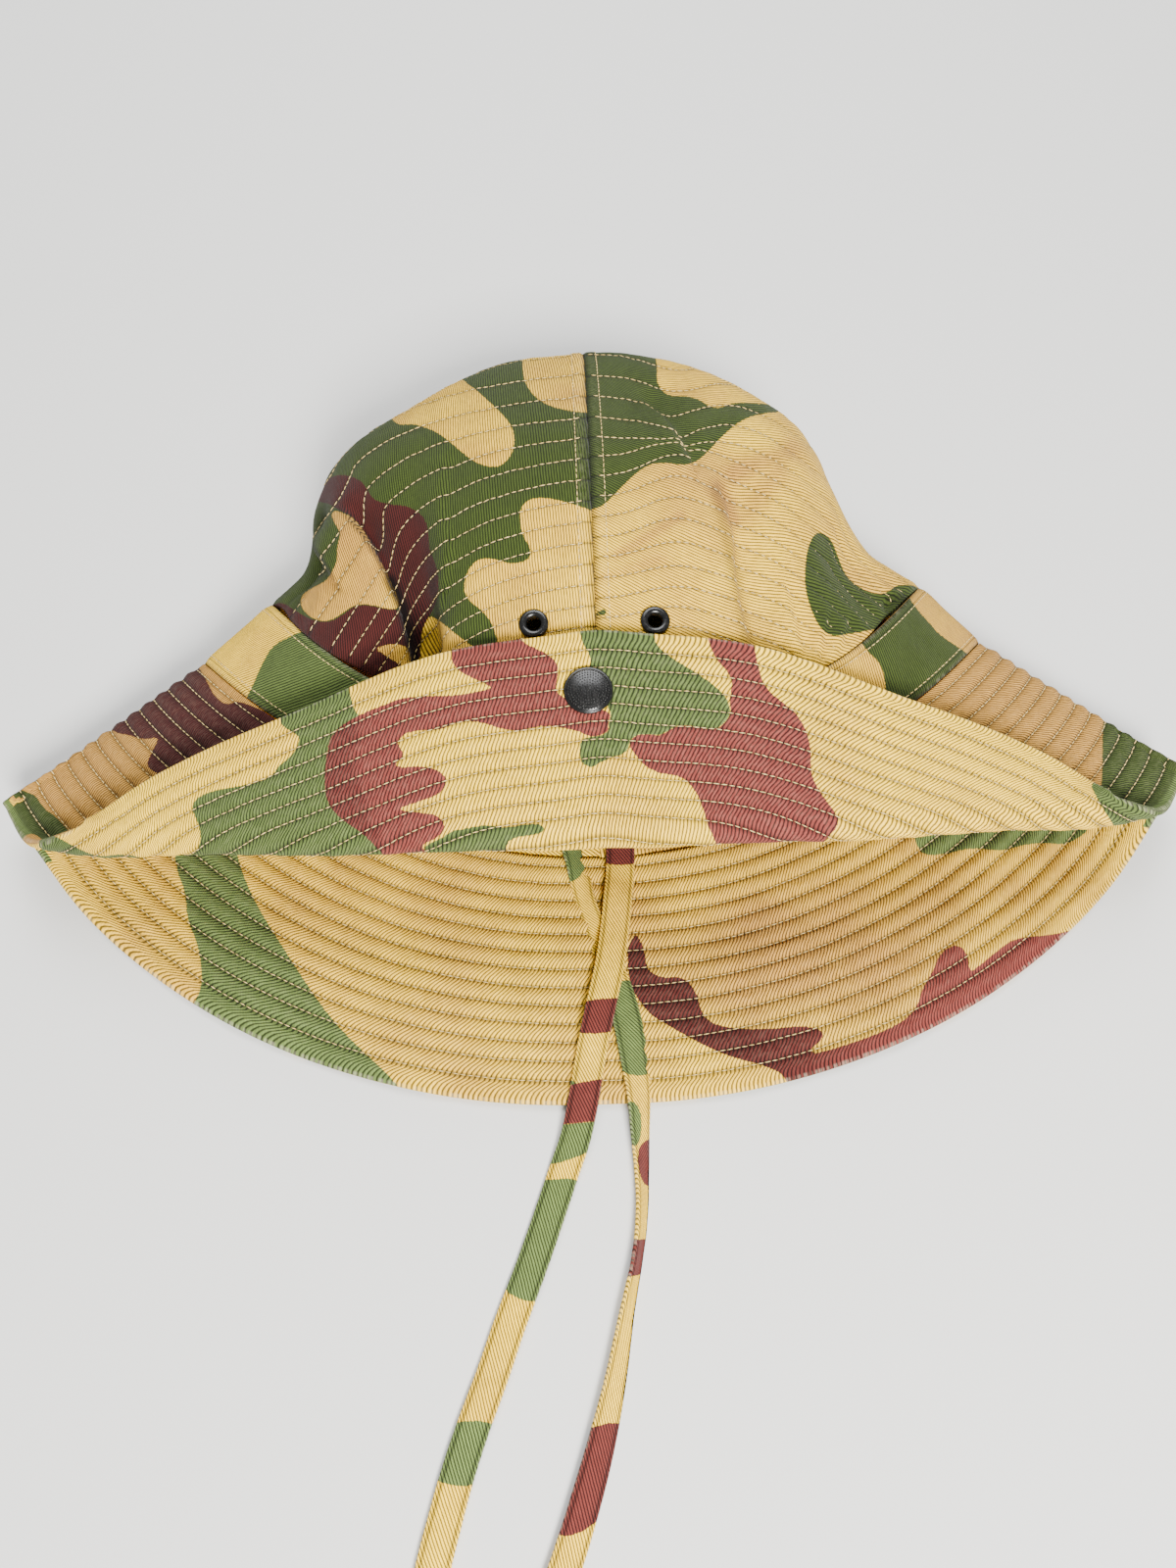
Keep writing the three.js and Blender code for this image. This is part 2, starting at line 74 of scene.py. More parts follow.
camera_data = bpy.data.cameras.new("camera")
camera_data.sensor_fit = "HORIZONTAL"
camera_data.sensor_width = SENSOR_WIDTH
camera_data.lens = LENS
camera_data.clip_start = 0.01
camera = bpy.data.objects.new("camera", camera_data)
camera.location = CAMERA_PLACE
camera.rotation_euler = Euler((math.radians(90 - CAMERA_ELEVATION), 0,
                               math.radians(-CAMERA_TURN)))
bpy.context.scene.collection.objects.link(camera)
bpy.context.scene.camera = camera

SIGHT = np.array(camera.rotation_euler.to_matrix())


def seen_at(points):
    """Where points of the hat lie in the picture, in its pixels."""
    local = (points - np.array(CAMERA_PLACE)) @ SIGHT
    across = PICTURE_WIDTH / 2 - PICTURE_WIDTH * local[..., 0] / local[..., 2]
    down = PICTURE_HEIGHT / 2 + PICTURE_WIDTH * local[..., 1] / local[..., 2]
    return np.stack([across, down], axis=-1)


# %% [markdown]
# ## The ties' routes
#
# A tie is a limp strip of cloth. It comes out of the opening, runs over the back of the brim
# and then lies on the table. A simulation could drop it there, but its lie is known, so its
# middle line is a few given points, joined by a smooth curve. The left tie runs under the
# right one.

# %% Chart the ties
TIE_WIDTH = 9 * MM
TIE_STEPS = 220
CURVE_CUTS = 12
LEFT_TIE_ROUTE = np.array([
    (-10.5, -34, 3.6), (-10, -43, 3.6), (-9, -51, 3.6), (-7, -60, 3.6), (-4.5, -71, 3.6),
    (-0.5, -83, 3.6), (3, -94, 3.6), (6, -106, 3.6), (7.5, -117, 3.7), (8.5, -129, 3.9),
    (8.5, -139, 2.2), (8.5, -149, 1.0), (8, -161, 1.0), (6, -173, 1.0), (2.5, -187, 1.0),
    (-0.5, -200, 1.0), (-3.5, -211, 1.0), (-7, -222, 1.0), (-11, -233, 1.0),
    (-15, -243, 1.0), (-19.5, -253, 1.0),
]) * MM
RIGHT_TIE_ROUTE = np.array([
    (7.5, -34, 3.6), (7, -44, 3.6), (6.5, -53, 3.6), (6, -61, 4.2), (5, -69, 5.7),
    (3.5, -80, 5.7), (1.5, -91, 5.7), (-1.5, -103, 5.7), (-3.5, -111, 5.2),
    (-5.5, -120, 4.2), (-7.5, -130, 3.9), (-10, -140, 2.2), (-13.5, -149, 1.0),
    (-18, -161, 1.0), (-23.5, -175, 1.0), (-29, -188, 1.0), (-34, -201, 1.0),
    (-39, -213, 1.0), (-43, -224, 1.0), (-46, -234, 1.0), (-48.5, -243, 1.0),
    (-50.5, -253, 1.0),
]) * MM


def smooth_line(points, steps):
    """A smooth curve through the points, cut into equal steps."""
    ends = np.vstack([2 * points[0] - points[1], points, 2 * points[-1] - points[-2]])
    t = np.linspace(0, 1, CURVE_CUTS, endpoint=False)[:, None]
    line = []
    for a, b, c, d in zip(ends, ends[1:], ends[2:], ends[3:]):
        line.append(0.5 * (2 * b + (c - a) * t + (2 * a - 5 * b + 4 * c - d) * t**2
                           + (3 * b - a - 3 * c + d) * t**3))
    line = np.vstack(line + [points[-1:]])
    walked = np.r_[0, np.cumsum(np.linalg.norm(np.diff(line, axis=0), axis=1))]
    even = np.linspace(0, walked[-1], steps + 1)
    return np.stack([np.interp(even, walked, line[:, k]) for k in range(3)], axis=1)


def length_of(line):
    return float(np.linalg.norm(np.diff(line, axis=0), axis=1).sum())


left_tie_line = smooth_line(LEFT_TIE_ROUTE, TIE_STEPS)
right_tie_line = smooth_line(RIGHT_TIE_ROUTE, TIE_STEPS)
print("tie lengths:", round(length_of(left_tie_line), 3), round(length_of(right_tie_line), 3))

# %% [markdown]
# ## The form of the hat
#
# One skin describes the whole outside. A place on it has a turn, from 0 in the middle of the
# front over 90 at the right side to 180 at the back, and a level: -1 is the edge of the brim,
# 0 the seam between brim and band, 1 the seam between band and crown, and 2 the top. Short
# tables say how the form changes along both, and a smooth curve is read between their rows.

# %% Sizes of the hat
CROWN_LENGTH = 163.0
CROWN_HALF_WIDTH = 107.0
CROWN_HEIGHT = 66.0
SIDE_HEIGHT = 22.0
CROWN_ROUNDING = 0.85
TOP_CLOSES = 0.86
HEAD_HALF_WIDTH = 127.0
HEAD_HEIGHT = 46.0
HEAD_SIDE_HEIGHT = 18.0
HEAD_BOW = 66.0
BOW_POWER = 2.2
BAND_WIDTH = 25.0
FRONT_SET_BACK = 2.0
FLAT_SHARE = 0.55
BRIM_WIDTH = 76.0
FOLD_RADIUS = 2.6
BRIM_ROUND = 760.0
BAND_ROUND = 575.0
CROWN_WALL = 1.8
BAND_WALL = 2.4
BRIM_WALL = 2.6

CROWN_COLUMNS = ("rise", "front", "side", "back", "left", "right", "height", "edge")
CROWN_SECTIONS = np.array([
    (0.00, 0.000, 0.374, 0.030, 0.99, 1.02, 0.79, 0.91),
    (0.15, 0.165, 0.450, 0.180, 0.89, 0.86, 0.90, 1.00),
    (0.35, 0.365, 0.580, 0.370, 0.86, 0.78, 1.00, 1.09),
    (0.55, 0.565, 0.690, 0.565, 0.79, 0.73, 0.98, 1.14),
    (0.75, 0.765, 0.810, 0.755, 0.60, 0.61, 0.82, 1.14),
    (0.88, 0.905, 0.910, 0.880, 0.41, 0.42, 0.65, 1.09),
    (0.96, 0.968, 0.966, 0.955, 0.24, 0.24, 0.50, 1.04),
    (1.00, 0.990, 0.990, 0.990, 0.00, 0.00, 0.33, 1.00),
])
BRIM_COLUMNS = ("turn", "heading", "slope", "reach", "fold", "round", "turned", "climb")
BRIM_SECTIONS = np.array([
    (0, 0, 3, 0.95, 0.10, 1.0, 0, 10.5),
    (15, 26, 0, 0.95, 0.16, 1.0, 9, 8),
    (30, 37, -4, 0.95, 0.34, 1.0, 20, 1),
    (45, 39, -7, 0.97, 0.55, 1.1, 34, -4),
    (56, 40, -8, 1.00, 0.73, 1.5, 50, -8),
    (66, 44, -7, 1.00, 0.87, 2.2, 60, -8),
    (76, 49, -6, 0.99, 0.96, 3.2, 66, -6),
    (90, 52, -3, 0.97, 1.10, 4.0, 66, 0),
    (105, 46, -1, 0.99, 1.20, 4.0, 66, 0),
    (120, 38, 0, 1.04, 1.20, 4.0, 66, 0),
    (140, 28, 0, 1.04, 1.20, 4.0, 66, 0),
    (160, 15, 0, 1.01, 1.20, 4.0, 66, 0),
    (180, 0, 0, 0.99, 1.20, 4.0, 66, 0),
])


def read(table, columns, place, name):
    """One column of a table at places between its rows, with a smooth curve through them."""
    x = table[:, 0]
    y = table[:, columns.index(name)]
    x_next, x_back = np.r_[x[1:], x[-1]], np.r_[x[0], x[:-1]]
    y_next, y_back = np.r_[y[1:], y[-1]], np.r_[y[0], y[:-1]]
    slope = (y_next - y_back) / (x_next - x_back)
    place = np.asarray(place, float)
    i = np.clip(np.searchsorted(x, place, side="left") - 1, 0, len(x) - 2)
    span = x[i + 1] - x[i]
    t = np.clip((place - x[i]) / span, 0, 1)
    ease_in = t * t * (3 - 2 * t)
    bend = (t**3 - 2 * t * t + t) * span * slope[i] + (t**3 - t * t) * span * slope[i + 1]
    return y[i] * (1 - ease_in) + y[i + 1] * ease_in + bend


def ease(low, high, x):
    """0 up to low, 1 from high on, and smooth between them."""
    t = np.clip((np.asarray(x, float) - low) / (high - low), 0, 1)
    return t * t * (3 - 2 * t)


def hill(x, middle, width):
    """1 in the middle, falling smoothly to 0 on both sides."""
    return np.exp(-(((x - middle) / width) ** 2))


# %% The skin: head seam, crown and brim
def bow(turn):
    return np.abs(np.sin(np.radians(turn))) ** BOW_POWER


def oval_height(turn, edge, top, rounding):
    c = np.cos(np.radians(turn))
    dome = edge + (top - edge) * np.maximum(c, 0) ** rounding
    return np.where(c >= 0, dome, edge * (1 - ease(0, FLAT_SHARE, -c)))


def head_seam(turn):
    front = ease(-1, 1, np.cos(np.radians(turn)))
    return np.stack([
        HEAD_HALF_WIDTH * np.sin(np.radians(turn)),
        HEAD_BOW * bow(turn) - FRONT_SET_BACK * front,
        oval_height(turn, HEAD_SIDE_HEIGHT, HEAD_HEIGHT, 1),
    ], axis=-1)


def crown_point(turn, rise):
    def part(name):
        return read(CROWN_SECTIONS, CROWN_COLUMNS, rise, name)

    c = np.cos(np.radians(turn))
    sine = np.sin(np.radians(turn))
    along = np.where(c >= 0, part("front"), part("back"))
    middle = along + (part("side") - along) * bow(turn)
    half = np.where(sine < 0, part("left"), part("right")) * CROWN_HALF_WIDTH
    top = part("height") * CROWN_HEIGHT
    edge = part("edge") * SIDE_HEIGHT
    closing = ease(TOP_CLOSES, 1, rise) * np.minimum(edge, top)
    low = oval_height(turn, edge, top, CROWN_ROUNDING)
    return np.stack([
        np.sign(sine) * half * np.abs(sine) ** CROWN_ROUNDING,
        BAND_WIDTH - FRONT_SET_BACK + middle * CROWN_LENGTH,
        np.where(c >= 0, low, np.maximum(low, closing)),
    ], axis=-1)


def brim_point(turn, reach):
    half = np.abs(turn)

    def part(name):
        return read(BRIM_SECTIONS, BRIM_COLUMNS, half, name)

    def way(heading, slope, forward):
        h, s = np.radians(heading), np.radians(slope)
        side = np.where(turn < 0, -1, 1)
        return np.stack([side * np.sin(h) * np.cos(s), forward * np.cos(h) * np.cos(s),
                         np.sin(s) * np.ones_like(h)], axis=-1)

    out = way(part("heading"), part("slope"), -1)
    back = way(part("turned"), part("climb"), 1)
    radius = part("round") * FOLD_RADIUS
    fold = part("fold") * BRIM_WIDTH
    walked = reach * part("reach") * BRIM_WIDTH
    angle = np.clip((walked - fold) / radius, 0, math.pi)
    flap = np.maximum(walked - fold - math.pi * radius, 0)
    point = head_seam(turn) + out * (np.minimum(walked, fold) + radius * np.sin(angle))[..., None]
    point[..., 2] += radius * (1 - np.cos(angle))
    return point + back * flap[..., None]


def skin(turn, level):
    """Points of the outside, in millimetres, before the dents."""
    turn, level = np.broadcast_arrays(np.asarray(turn, float), np.asarray(level, float))
    brim = brim_point(turn, np.clip(-level, 0, 1))
    share = np.clip(level, 0, 1)[..., None]
    band = head_seam(turn) * (1 - share) + crown_point(turn, np.zeros_like(turn)) * share
    crown = crown_point(turn, np.clip(level - 1, 0, 1))
    place = level[..., None]
    return np.where(place <= 0, brim, np.where(place < 1, band, crown))


# %% Set the skin where the solids lie
seam_to_edge = skin(180.0, -1.0)
set_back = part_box("brim")[0].y / MM - float(seam_to_edge[1])
SHIFT = np.array([0.0, set_back, 0.0])
print("skin moved along Y by", round(set_back, 2), "mm")

# %% [markdown]
# ## Cloth as a grid
#
# Every cloth piece starts as a flat grid made by one bmesh operator. One side of the grid
# runs round the hat, and the other runs across the piece. Each corner of the grid then moves
# to its place on the skin. Cloth that is sewn in rows is never flat between them: the channels
# puff up, and the thread pulls small puckers. Those are real heights here, because their
# shadows are most of what makes a quilted brim look sewn.


# %% Grid and surface helpers
def grid_mesh(name, columns, rows):
    """A flat grid, and the column and row of each of its corners."""
    bm = bmesh.new()
    bmesh.ops.create_grid(bm, x_segments=columns, y_segments=rows, size=0.5)
    mesh = bpy.data.meshes.new(name)
    bm.to_mesh(mesh)
    bm.free()
    place = np.empty(len(mesh.vertices) * 3)
    mesh.vertices.foreach_get("co", place)
    place = place.reshape(-1, 3) + 0.5
    i = np.rint(place[:, 0] * columns).astype(int)
    j = np.rint(place[:, 1] * rows).astype(int)
    return mesh, i, j


def directions(points, ring):
    """Outward directions of a surface given as columns and rows of points."""
    if ring:
        wrapped = np.concatenate([points[-2:-1], points, points[1:2]])
        around = (wrapped[2:] - wrapped[:-2])
    else:
        around = np.gradient(points, axis=0)
    along = np.gradient(points, axis=1)
    out = np.cross(around, along)
    size = np.linalg.norm(out, axis=-1, keepdims=True)
    return out / np.maximum(size, 1e-9)


def soften(points, times, ring=True):
    """Evens the surface along its columns, with the ends of each row kept."""
    for _ in range(times):
        if ring:
            wrapped = np.concatenate([points[-2:-1], points, points[1:2]])
            points = 0.25 * wrapped[:-2] + 0.5 * points + 0.25 * wrapped[2:]
        inner = 0.25 * points[:, :-2] + 0.5 * points[:, 1:-1] + 0.25 * points[:, 2:]
        points = np.concatenate([points[:, :1], inner, points[:, -1:]], axis=1)
    return points


def rough(x, y, z=0.0):
    """Smooth noise between about -1 and 1 at each place."""
    x, y, z = np.broadcast_arrays(x, y, z)
    flat = [noise.noise(Vector(p)) for p in zip(x.ravel(), y.ravel(), z.ravel())]
    return np.array(flat).reshape(x.shape)


def cloth_mesh(name, points, uv, **paint):
    """A grid set on points in millimetres, with its cloth coordinates and painted values."""
    mesh, i, j = grid_mesh(name, points.shape[0] - 1, points.shape[1] - 1)
    mesh.vertices.foreach_set("co", (points[i, j] * MM).ravel())
    corner_map(mesh, uv[i, j])
    for layer_name, values in paint.items():
        layer = mesh.attributes.new(layer_name, "FLOAT", "POINT")
        values = np.broadcast_to(values, points.shape[:2])[i, j]
        layer.data.foreach_set("value", values.astype(np.float32))
    return mesh


def corner_map(mesh, uv):
    """Cloth coordinates in metres: across the twill ribs and along them."""
    layer = mesh.uv_layers.new(name="cloth")
    loops = np.empty(len(mesh.loops), int)
    mesh.loops.foreach_get("vertex_index", loops)
    layer.data.foreach_set("uv", uv[loops].astype(np.float32).ravel())


def ribs(along, across, angle):
    """Turns cloth coordinates so that the first runs across the twill ribs."""
    a = math.radians(angle)
    return np.stack([across * np.cos(a) + along * np.sin(a),
                     along * np.cos(a) - across * np.sin(a)], axis=-1) * MM


def turning_ribs(u, v, angle):
    """As ribs, for ribs whose slant from the outward way changes round the hat, in degrees."""
    a = np.radians(angle * np.ones_like(u))
    step = np.diff(u, axis=0, prepend=u[:1])
    across = np.cumsum(np.cos(a) * step, axis=0) - np.sin(a) * v
    along = np.cumsum(np.sin(a) * step, axis=0) + np.cos(a) * v
    return np.stack([across, along], axis=-1) * MM


def ribs_beside(surface, v, angle, turns, side_turn):
    """As ribs, measured over the cloth itself from its middle at each side of the hat."""
    a = np.radians(angle)
    step = np.linalg.norm(np.diff(surface, axis=0, prepend=surface[:1]), axis=-1)
    across = np.cumsum(np.cos(a) * step, axis=0)
    along = np.cumsum(np.sin(a) * step, axis=0)
    for side in (-1, 1):
        half = turns * side >= 0
        middle = int(np.argmin(np.abs(turns - side * side_turn)))
        across[half] -= across[middle].copy()
        along[half] -= along[middle].copy()
    return np.stack([across - np.sin(a) * v, along + np.cos(a) * v], axis=-1) * MM


def smooth(mesh):
    mesh.polygons.foreach_set("use_smooth", [True] * len(mesh.polygons))
    mesh.update()
    return mesh


def finish_mesh(mesh, merge=0.02 * MM):
    """Closes a grid into a loop where its edges meet."""
    bm = bmesh.new()
    bm.from_mesh(mesh)
    bmesh.ops.remove_doubles(bm, verts=bm.verts, dist=merge)
    bmesh.ops.dissolve_degenerate(bm, edges=bm.edges, dist=merge / 4)
    bmesh.ops.recalc_face_normals(bm, faces=bm.faces)
    bm.to_mesh(mesh)
    bm.free()
    return smooth(mesh)


def mesh_from(name, bm):
    mesh = bpy.data.meshes.new(name)
    bm.to_mesh(mesh)
    bm.free()
    return smooth(mesh)


def small_shape(bm):
    """Corners and faces of a small shape, for laying many copies of it."""
    corners = np.array([v.co for v in bm.verts])
    faces = np.array([[v.index for v in f.verts] for f in bm.faces])
    bm.free()
    return corners, faces


def joined_copies(name, places, faces):
    """One mesh of many copies, from the corners of each copy in metres."""
    copies, corners = places.shape[:2]
    faces = faces[None] + corners * np.arange(copies)[:, None, None]
    mesh = bpy.data.meshes.new(name)
    mesh.from_pydata(places.reshape(-1, 3).tolist(), [], faces.reshape(-1, 3).tolist())
    return smooth(mesh)


def piece(mesh, material, node=None, body="root"):
    """An object that rides on a body, and that stands for a node of the solids if one is named."""
    obj = bpy.data.objects.new(mesh.name, mesh)
    bpy.context.scene.collection.objects.link(obj)
    obj.data.materials.append(material)
    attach(obj, body)
    if node:
        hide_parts(node)
    return obj


# %% [markdown]
# ## The printed patches
#
# The cloth is printed with large green and brick red patches on tan. Their edges are sharp,
# so a picture of them isn't needed: each patch is an outline, charted on the camera's
# picture, and every corner of the cloth stores how far inside the nearest patch it lies. The
# material then cuts that distance at zero, which stays sharp at any size. Later patches in a
# list are printed over earlier ones. Where the camera can't see, blots of noise of the same
# size carry the pattern on.

# %% Chart the patches of the crown
CROWN_LEFT_PRINT = [
    ("tan", [(534, 340), (533, 372), (535, 390), (547, 407), (565, 416), (592, 421),
             (612, 421), (612, 340)]),
    ("tan", [(395, 415), (403, 434), (421, 432), (443, 439), (456, 448), (472, 462),
             (485, 472), (501, 477), (512, 475), (521, 466), (525, 453), (524, 439),
             (516, 426), (499, 410), (485, 397), (472, 388), (455, 370)]),
    ("tan", [(430, 640), (438, 627), (447, 633), (454, 638), (465, 647), (483, 660),
             (495, 668), (470, 700), (425, 700), (427, 655)]),
    ("tan", [(612, 522), (606, 522), (590, 516), (568, 510), (548, 507), (534, 513),
             (530, 526), (533, 546), (541, 558), (542, 567), (536, 573), (521, 576),
             (508, 571), (492, 569), (481, 576), (475, 589), (473, 602), (479, 614),
             (490, 621), (501, 634), (506, 647), (509, 662), (505, 700), (625, 700)]),
    ("red", [(315, 511), (324, 494), (345, 483), (365, 488), (374, 497), (380, 510),
             (398, 515), (416, 516), (432, 526), (437, 540), (438, 562), (445, 576),
             (448, 596), (446, 613), (440, 625), (434, 636), (430, 645), (428, 690),
             (412, 690), (410, 650), (408, 616), (398, 591), (387, 571), (376, 549),
             (367, 535), (358, 526), (345, 520), (334, 513)]),
    ("tan", [(337, 523), (345, 521), (358, 527), (367, 536), (376, 549), (387, 571),
             (398, 591), (409, 615), (405, 622), (394, 621), (383, 618), (371, 616),
             (360, 618), (349, 626), (336, 634), (322, 633), (311, 625), (306, 615),
             (309, 606), (322, 598), (333, 593), (340, 582), (344, 573), (344, 558),
             (348, 544), (342, 535)]),
    ("red", [(285, 612), (307, 627), (322, 634), (336, 635), (351, 627), (360, 619),
             (371, 617), (383, 619), (396, 622), (407, 621), (414, 635), (418, 658),
             (396, 659), (383, 660), (400, 669), (416, 681), (410, 700), (362, 700),
             (300, 650), (270, 625)]),
    ("tan", [(378, 660), (418, 655), (421, 686), (398, 672)]),
    ("tan", [(301, 652), (318, 663), (336, 677), (333, 684), (311, 669)]),
]
CROWN_RIGHT_PRINT = [
    ("green", [(570, 340), (640, 340), (668, 360), (671, 375), (670, 388), (674, 397),
               (682, 404), (702, 404), (714, 408), (723, 414), (732, 417), (748, 411),
               (765, 411), (790, 413), (800, 420), (778, 422), (760, 427), (742, 440),
               (728, 455), (712, 471), (698, 475), (677, 472), (661, 474), (643, 488),
               (624, 508), (610, 521), (570, 521)]),
    ("green", [(830, 545), (838, 543), (847, 549), (853, 561), (858, 577), (866, 591),
               (879, 601), (895, 607), (905, 605), (916, 596), (940, 598), (940, 618),
               (921, 628), (907, 639), (884, 644), (866, 647), (850, 650), (837, 642),
               (828, 623), (822, 603), (821, 584), (823, 563)]),
    ("green", [(609, 620), (618, 620), (619, 626), (613, 631), (607, 632)]),
]

# %% Chart the patches of the band and the brim's top side
BAND_PRINT = [
    ("green", [(310, 642), (294, 651), (284, 655), (275, 663), (267, 678), (259, 696),
               (251, 714), (240, 740), (300, 780), (400, 720), (385, 690), (345, 655)]),
    ("green", [(915, 590), (935, 621), (947, 634), (958, 647), (977, 660), (990, 669),
               (1001, 678), (1012, 695), (960, 750), (915, 750), (908, 721), (903, 701),
               (902, 686), (895, 673), (884, 664), (876, 650), (890, 620)]),
]
BRIM_TOP_PRINT = [
    ("red", [(100, 735), (118, 748), (131, 750), (147, 755), (161, 752), (160, 758),
             (155, 767), (150, 778), (151, 784), (167, 793), (184, 790), (210, 805),
             (300, 760), (290, 735), (243, 714), (235, 719), (226, 717), (216, 706),
             (210, 692), (195, 670), (140, 700)]),
    ("green", [(-20, 800), (15, 803), (29, 809), (37, 812), (44, 824), (59, 835),
               (67, 845), (79, 855), (85, 875), (-20, 890)]),
    ("tan", [(22, 857), (29, 850), (39, 853), (49, 862), (45, 868), (22, 866)]),
    ("green", [(1133, 705), (1127, 728), (1125, 745), (1125, 775), (1124, 800),
               (1120, 840), (1240, 850), (1240, 720)]),
]

# %% Chart the patches of the turned-up flap
FLAP_PRINT = [
    ("green", [(55, 852), (71, 861), (90, 871), (106, 874), (126, 871), (143, 875),
               (163, 878), (180, 877), (196, 873), (204, 863), (205, 851), (201, 837),
               (196, 827), (197, 818), (204, 812), (220, 806), (245, 802), (267, 797),
               (280, 790), (284, 781), (296, 773), (304, 761), (306, 751), (296, 746),
               (284, 738), (290, 715), (355, 690), (358, 714), (364, 730), (400, 760),
               (400, 860), (395, 910), (-20, 910), (-20, 850), (20, 845)]),
    ("red", [(341, 746), (352, 738), (364, 731), (378, 724), (392, 720), (405, 713),
             (420, 711), (443, 710), (466, 710), (489, 705), (505, 703), (496, 698),
             (480, 691), (469, 685), (462, 678), (460, 670), (465, 640), (530, 640),
             (532, 656), (544, 660), (558, 667), (567, 674), (570, 683), (568, 696),
             (567, 705), (574, 712), (600, 722), (625, 725), (620, 740), (622, 745),
             (615, 751), (604, 753), (592, 747), (583, 744), (569, 742), (555, 740),
             (539, 744), (526, 746), (512, 744), (498, 739), (484, 736), (469, 736),
             (459, 740), (450, 745), (434, 745), (418, 746), (405, 754), (408, 764),
             (414, 771), (404, 777), (402, 784), (420, 782), (436, 782), (450, 787),
             (457, 796), (452, 808), (438, 815), (420, 820), (403, 827), (420, 828),
             (434, 830), (448, 832), (454, 842), (452, 852), (438, 859), (428, 863),
             (437, 870), (440, 900), (395, 900), (395, 878), (389, 870), (380, 860),
             (367, 848), (350, 838), (333, 819), (331, 795), (333, 771), (336, 757)]),
    ("green", [(431, 862), (454, 855), (456, 848), (473, 846), (489, 842), (500, 842),
               (514, 845), (530, 842), (549, 840), (557, 843), (555, 850), (544, 852),
               (528, 854), (516, 859), (515, 890), (450, 890), (437, 872)]),
    ("green", [(590, 630), (670, 630), (666, 652), (675, 664), (691, 675), (712, 687),
               (730, 700), (742, 712), (746, 726), (742, 735), (730, 746), (714, 742),
               (695, 739), (684, 744), (675, 751), (661, 749), (647, 750), (642, 758),
               (640, 769), (622, 773), (613, 778), (601, 785), (594, 781), (591, 767),
               (593, 752), (615, 751), (622, 745), (620, 740), (625, 725), (602, 700),
               (602, 680), (603, 670), (593, 655)]),
    ("red", [(720, 640), (725, 662), (732, 675), (742, 684), (747, 693), (746, 705),
             (744, 716), (746, 726), (742, 735), (730, 746), (714, 742), (695, 739),
             (684, 744), (675, 751), (661, 749), (647, 750), (642, 758), (643, 764),
             (650, 772), (659, 783), (675, 790), (691, 791), (702, 797), (712, 811),
             (718, 827), (723, 845), (730, 858), (735, 885), (825, 885), (842, 857),
             (855, 844), (856, 833), (839, 812), (827, 790), (828, 769), (824, 747),
             (812, 726), (796, 715), (780, 702), (772, 674), (768, 645)]),
    ("green", [(1110, 795), (1120, 816), (1126, 827), (1136, 841), (1150, 870),
               (1240, 870), (1240, 790), (1150, 800)]),
]

# %% Chart the patches of the brim's underside at the back, and of the ties
BACK_PRINT = [
    ("green", [(176, 850), (180, 888), (189, 909), (191, 939), (203, 966), (207, 1005),
               (197, 1026), (185, 1060), (300, 1110), (420, 1140), (407, 1106),
               (367, 1070), (341, 1043), (318, 1012), (291, 970), (264, 928),
               (245, 886), (238, 850)]),
    ("red", [(646, 948), (658, 967), (660, 991), (678, 999), (695, 995), (711, 1011),
             (717, 1040), (744, 1050), (789, 1050), (821, 1046), (842, 1052),
             (838, 1062), (829, 1069), (821, 1077), (845, 1072), (870, 1064),
             (895, 1055), (919, 1044), (935, 1030), (940, 1012), (945, 1002),
             (952, 991), (958, 975), (967, 966), (980, 964), (988, 975), (989, 994),
             (1003, 982), (1017, 971), (1030, 960), (1046, 956), (1074, 954),
             (1110, 945), (1110, 970), (950, 1080), (805, 1135), (805, 1099),
             (780, 1087), (750, 1080), (723, 1069), (700, 1057), (678, 1044),
             (664, 1036), (654, 1024), (645, 1010), (641, 995), (640, 970)]),
    ("green", [(925, 830), (935, 862), (942, 873), (964, 872), (990, 865), (1016, 868),
               (1029, 867), (1044, 862), (1066, 860), (1088, 862), (1101, 855),
               (1112, 846), (1112, 830)]),
]
LEFT_TIE_PRINT = [
    ("green", [(560, 820), (610, 820), (600, 890), (575, 905), (555, 880)]),
    ("green", [(610, 1000), (680, 1000), (680, 1095), (625, 1100)]),
    ("green", [(630, 1130), (652, 1120), (656, 1160), (645, 1175)]),
    ("red", [(648, 1165), (680, 1160), (680, 1205), (655, 1215)]),
    ("red", [(620, 1268), (680, 1262), (672, 1298), (620, 1306)]),
    ("red", [(580, 1462), (650, 1445), (640, 1520), (590, 1572), (550, 1560)]),
]
RIGHT_TIE_PRINT = [
    ("red", [(600, 830), (670, 830), (670, 872), (640, 885), (600, 878)]),
    ("red", [(580, 1022), (650, 1016), (650, 1050), (580, 1058)]),
    ("green", [(560, 1105), (588, 1100), (592, 1120), (570, 1130)]),
    ("red", [(560, 1115), (590, 1104), (640, 1098), (630, 1150), (560, 1152)]),
    ("green", [(540, 1150), (590, 1146), (630, 1142), (610, 1172), (570, 1188), (540, 1190)]),
    ("green", [(520, 1206), (620, 1200), (590, 1330), (500, 1326)]),
    ("green", [(440, 1452), (520, 1448), (500, 1520), (430, 1512)]),
]


# %% Distance inside the patches
PATCH_FAR = 60.0
BLOT_LONG, BLOT_WIDE = 52.0, 38.0
BLOT_DEPTH = 70
GREEN_ABOVE, RED_ABOVE = 0.02, 0.20


def rounded(outline):
    """Cuts the corners of an outline twice, so that it runs smoothly."""
    points = np.array(outline, float)
    for _ in range(2):
        ahead = np.roll(points, -1, axis=0)
        points = np.stack([0.75 * points + 0.25 * ahead, 0.25 * points + 0.75 * ahead], axis=1)
        points = points.reshape(-1, 2)
    return points


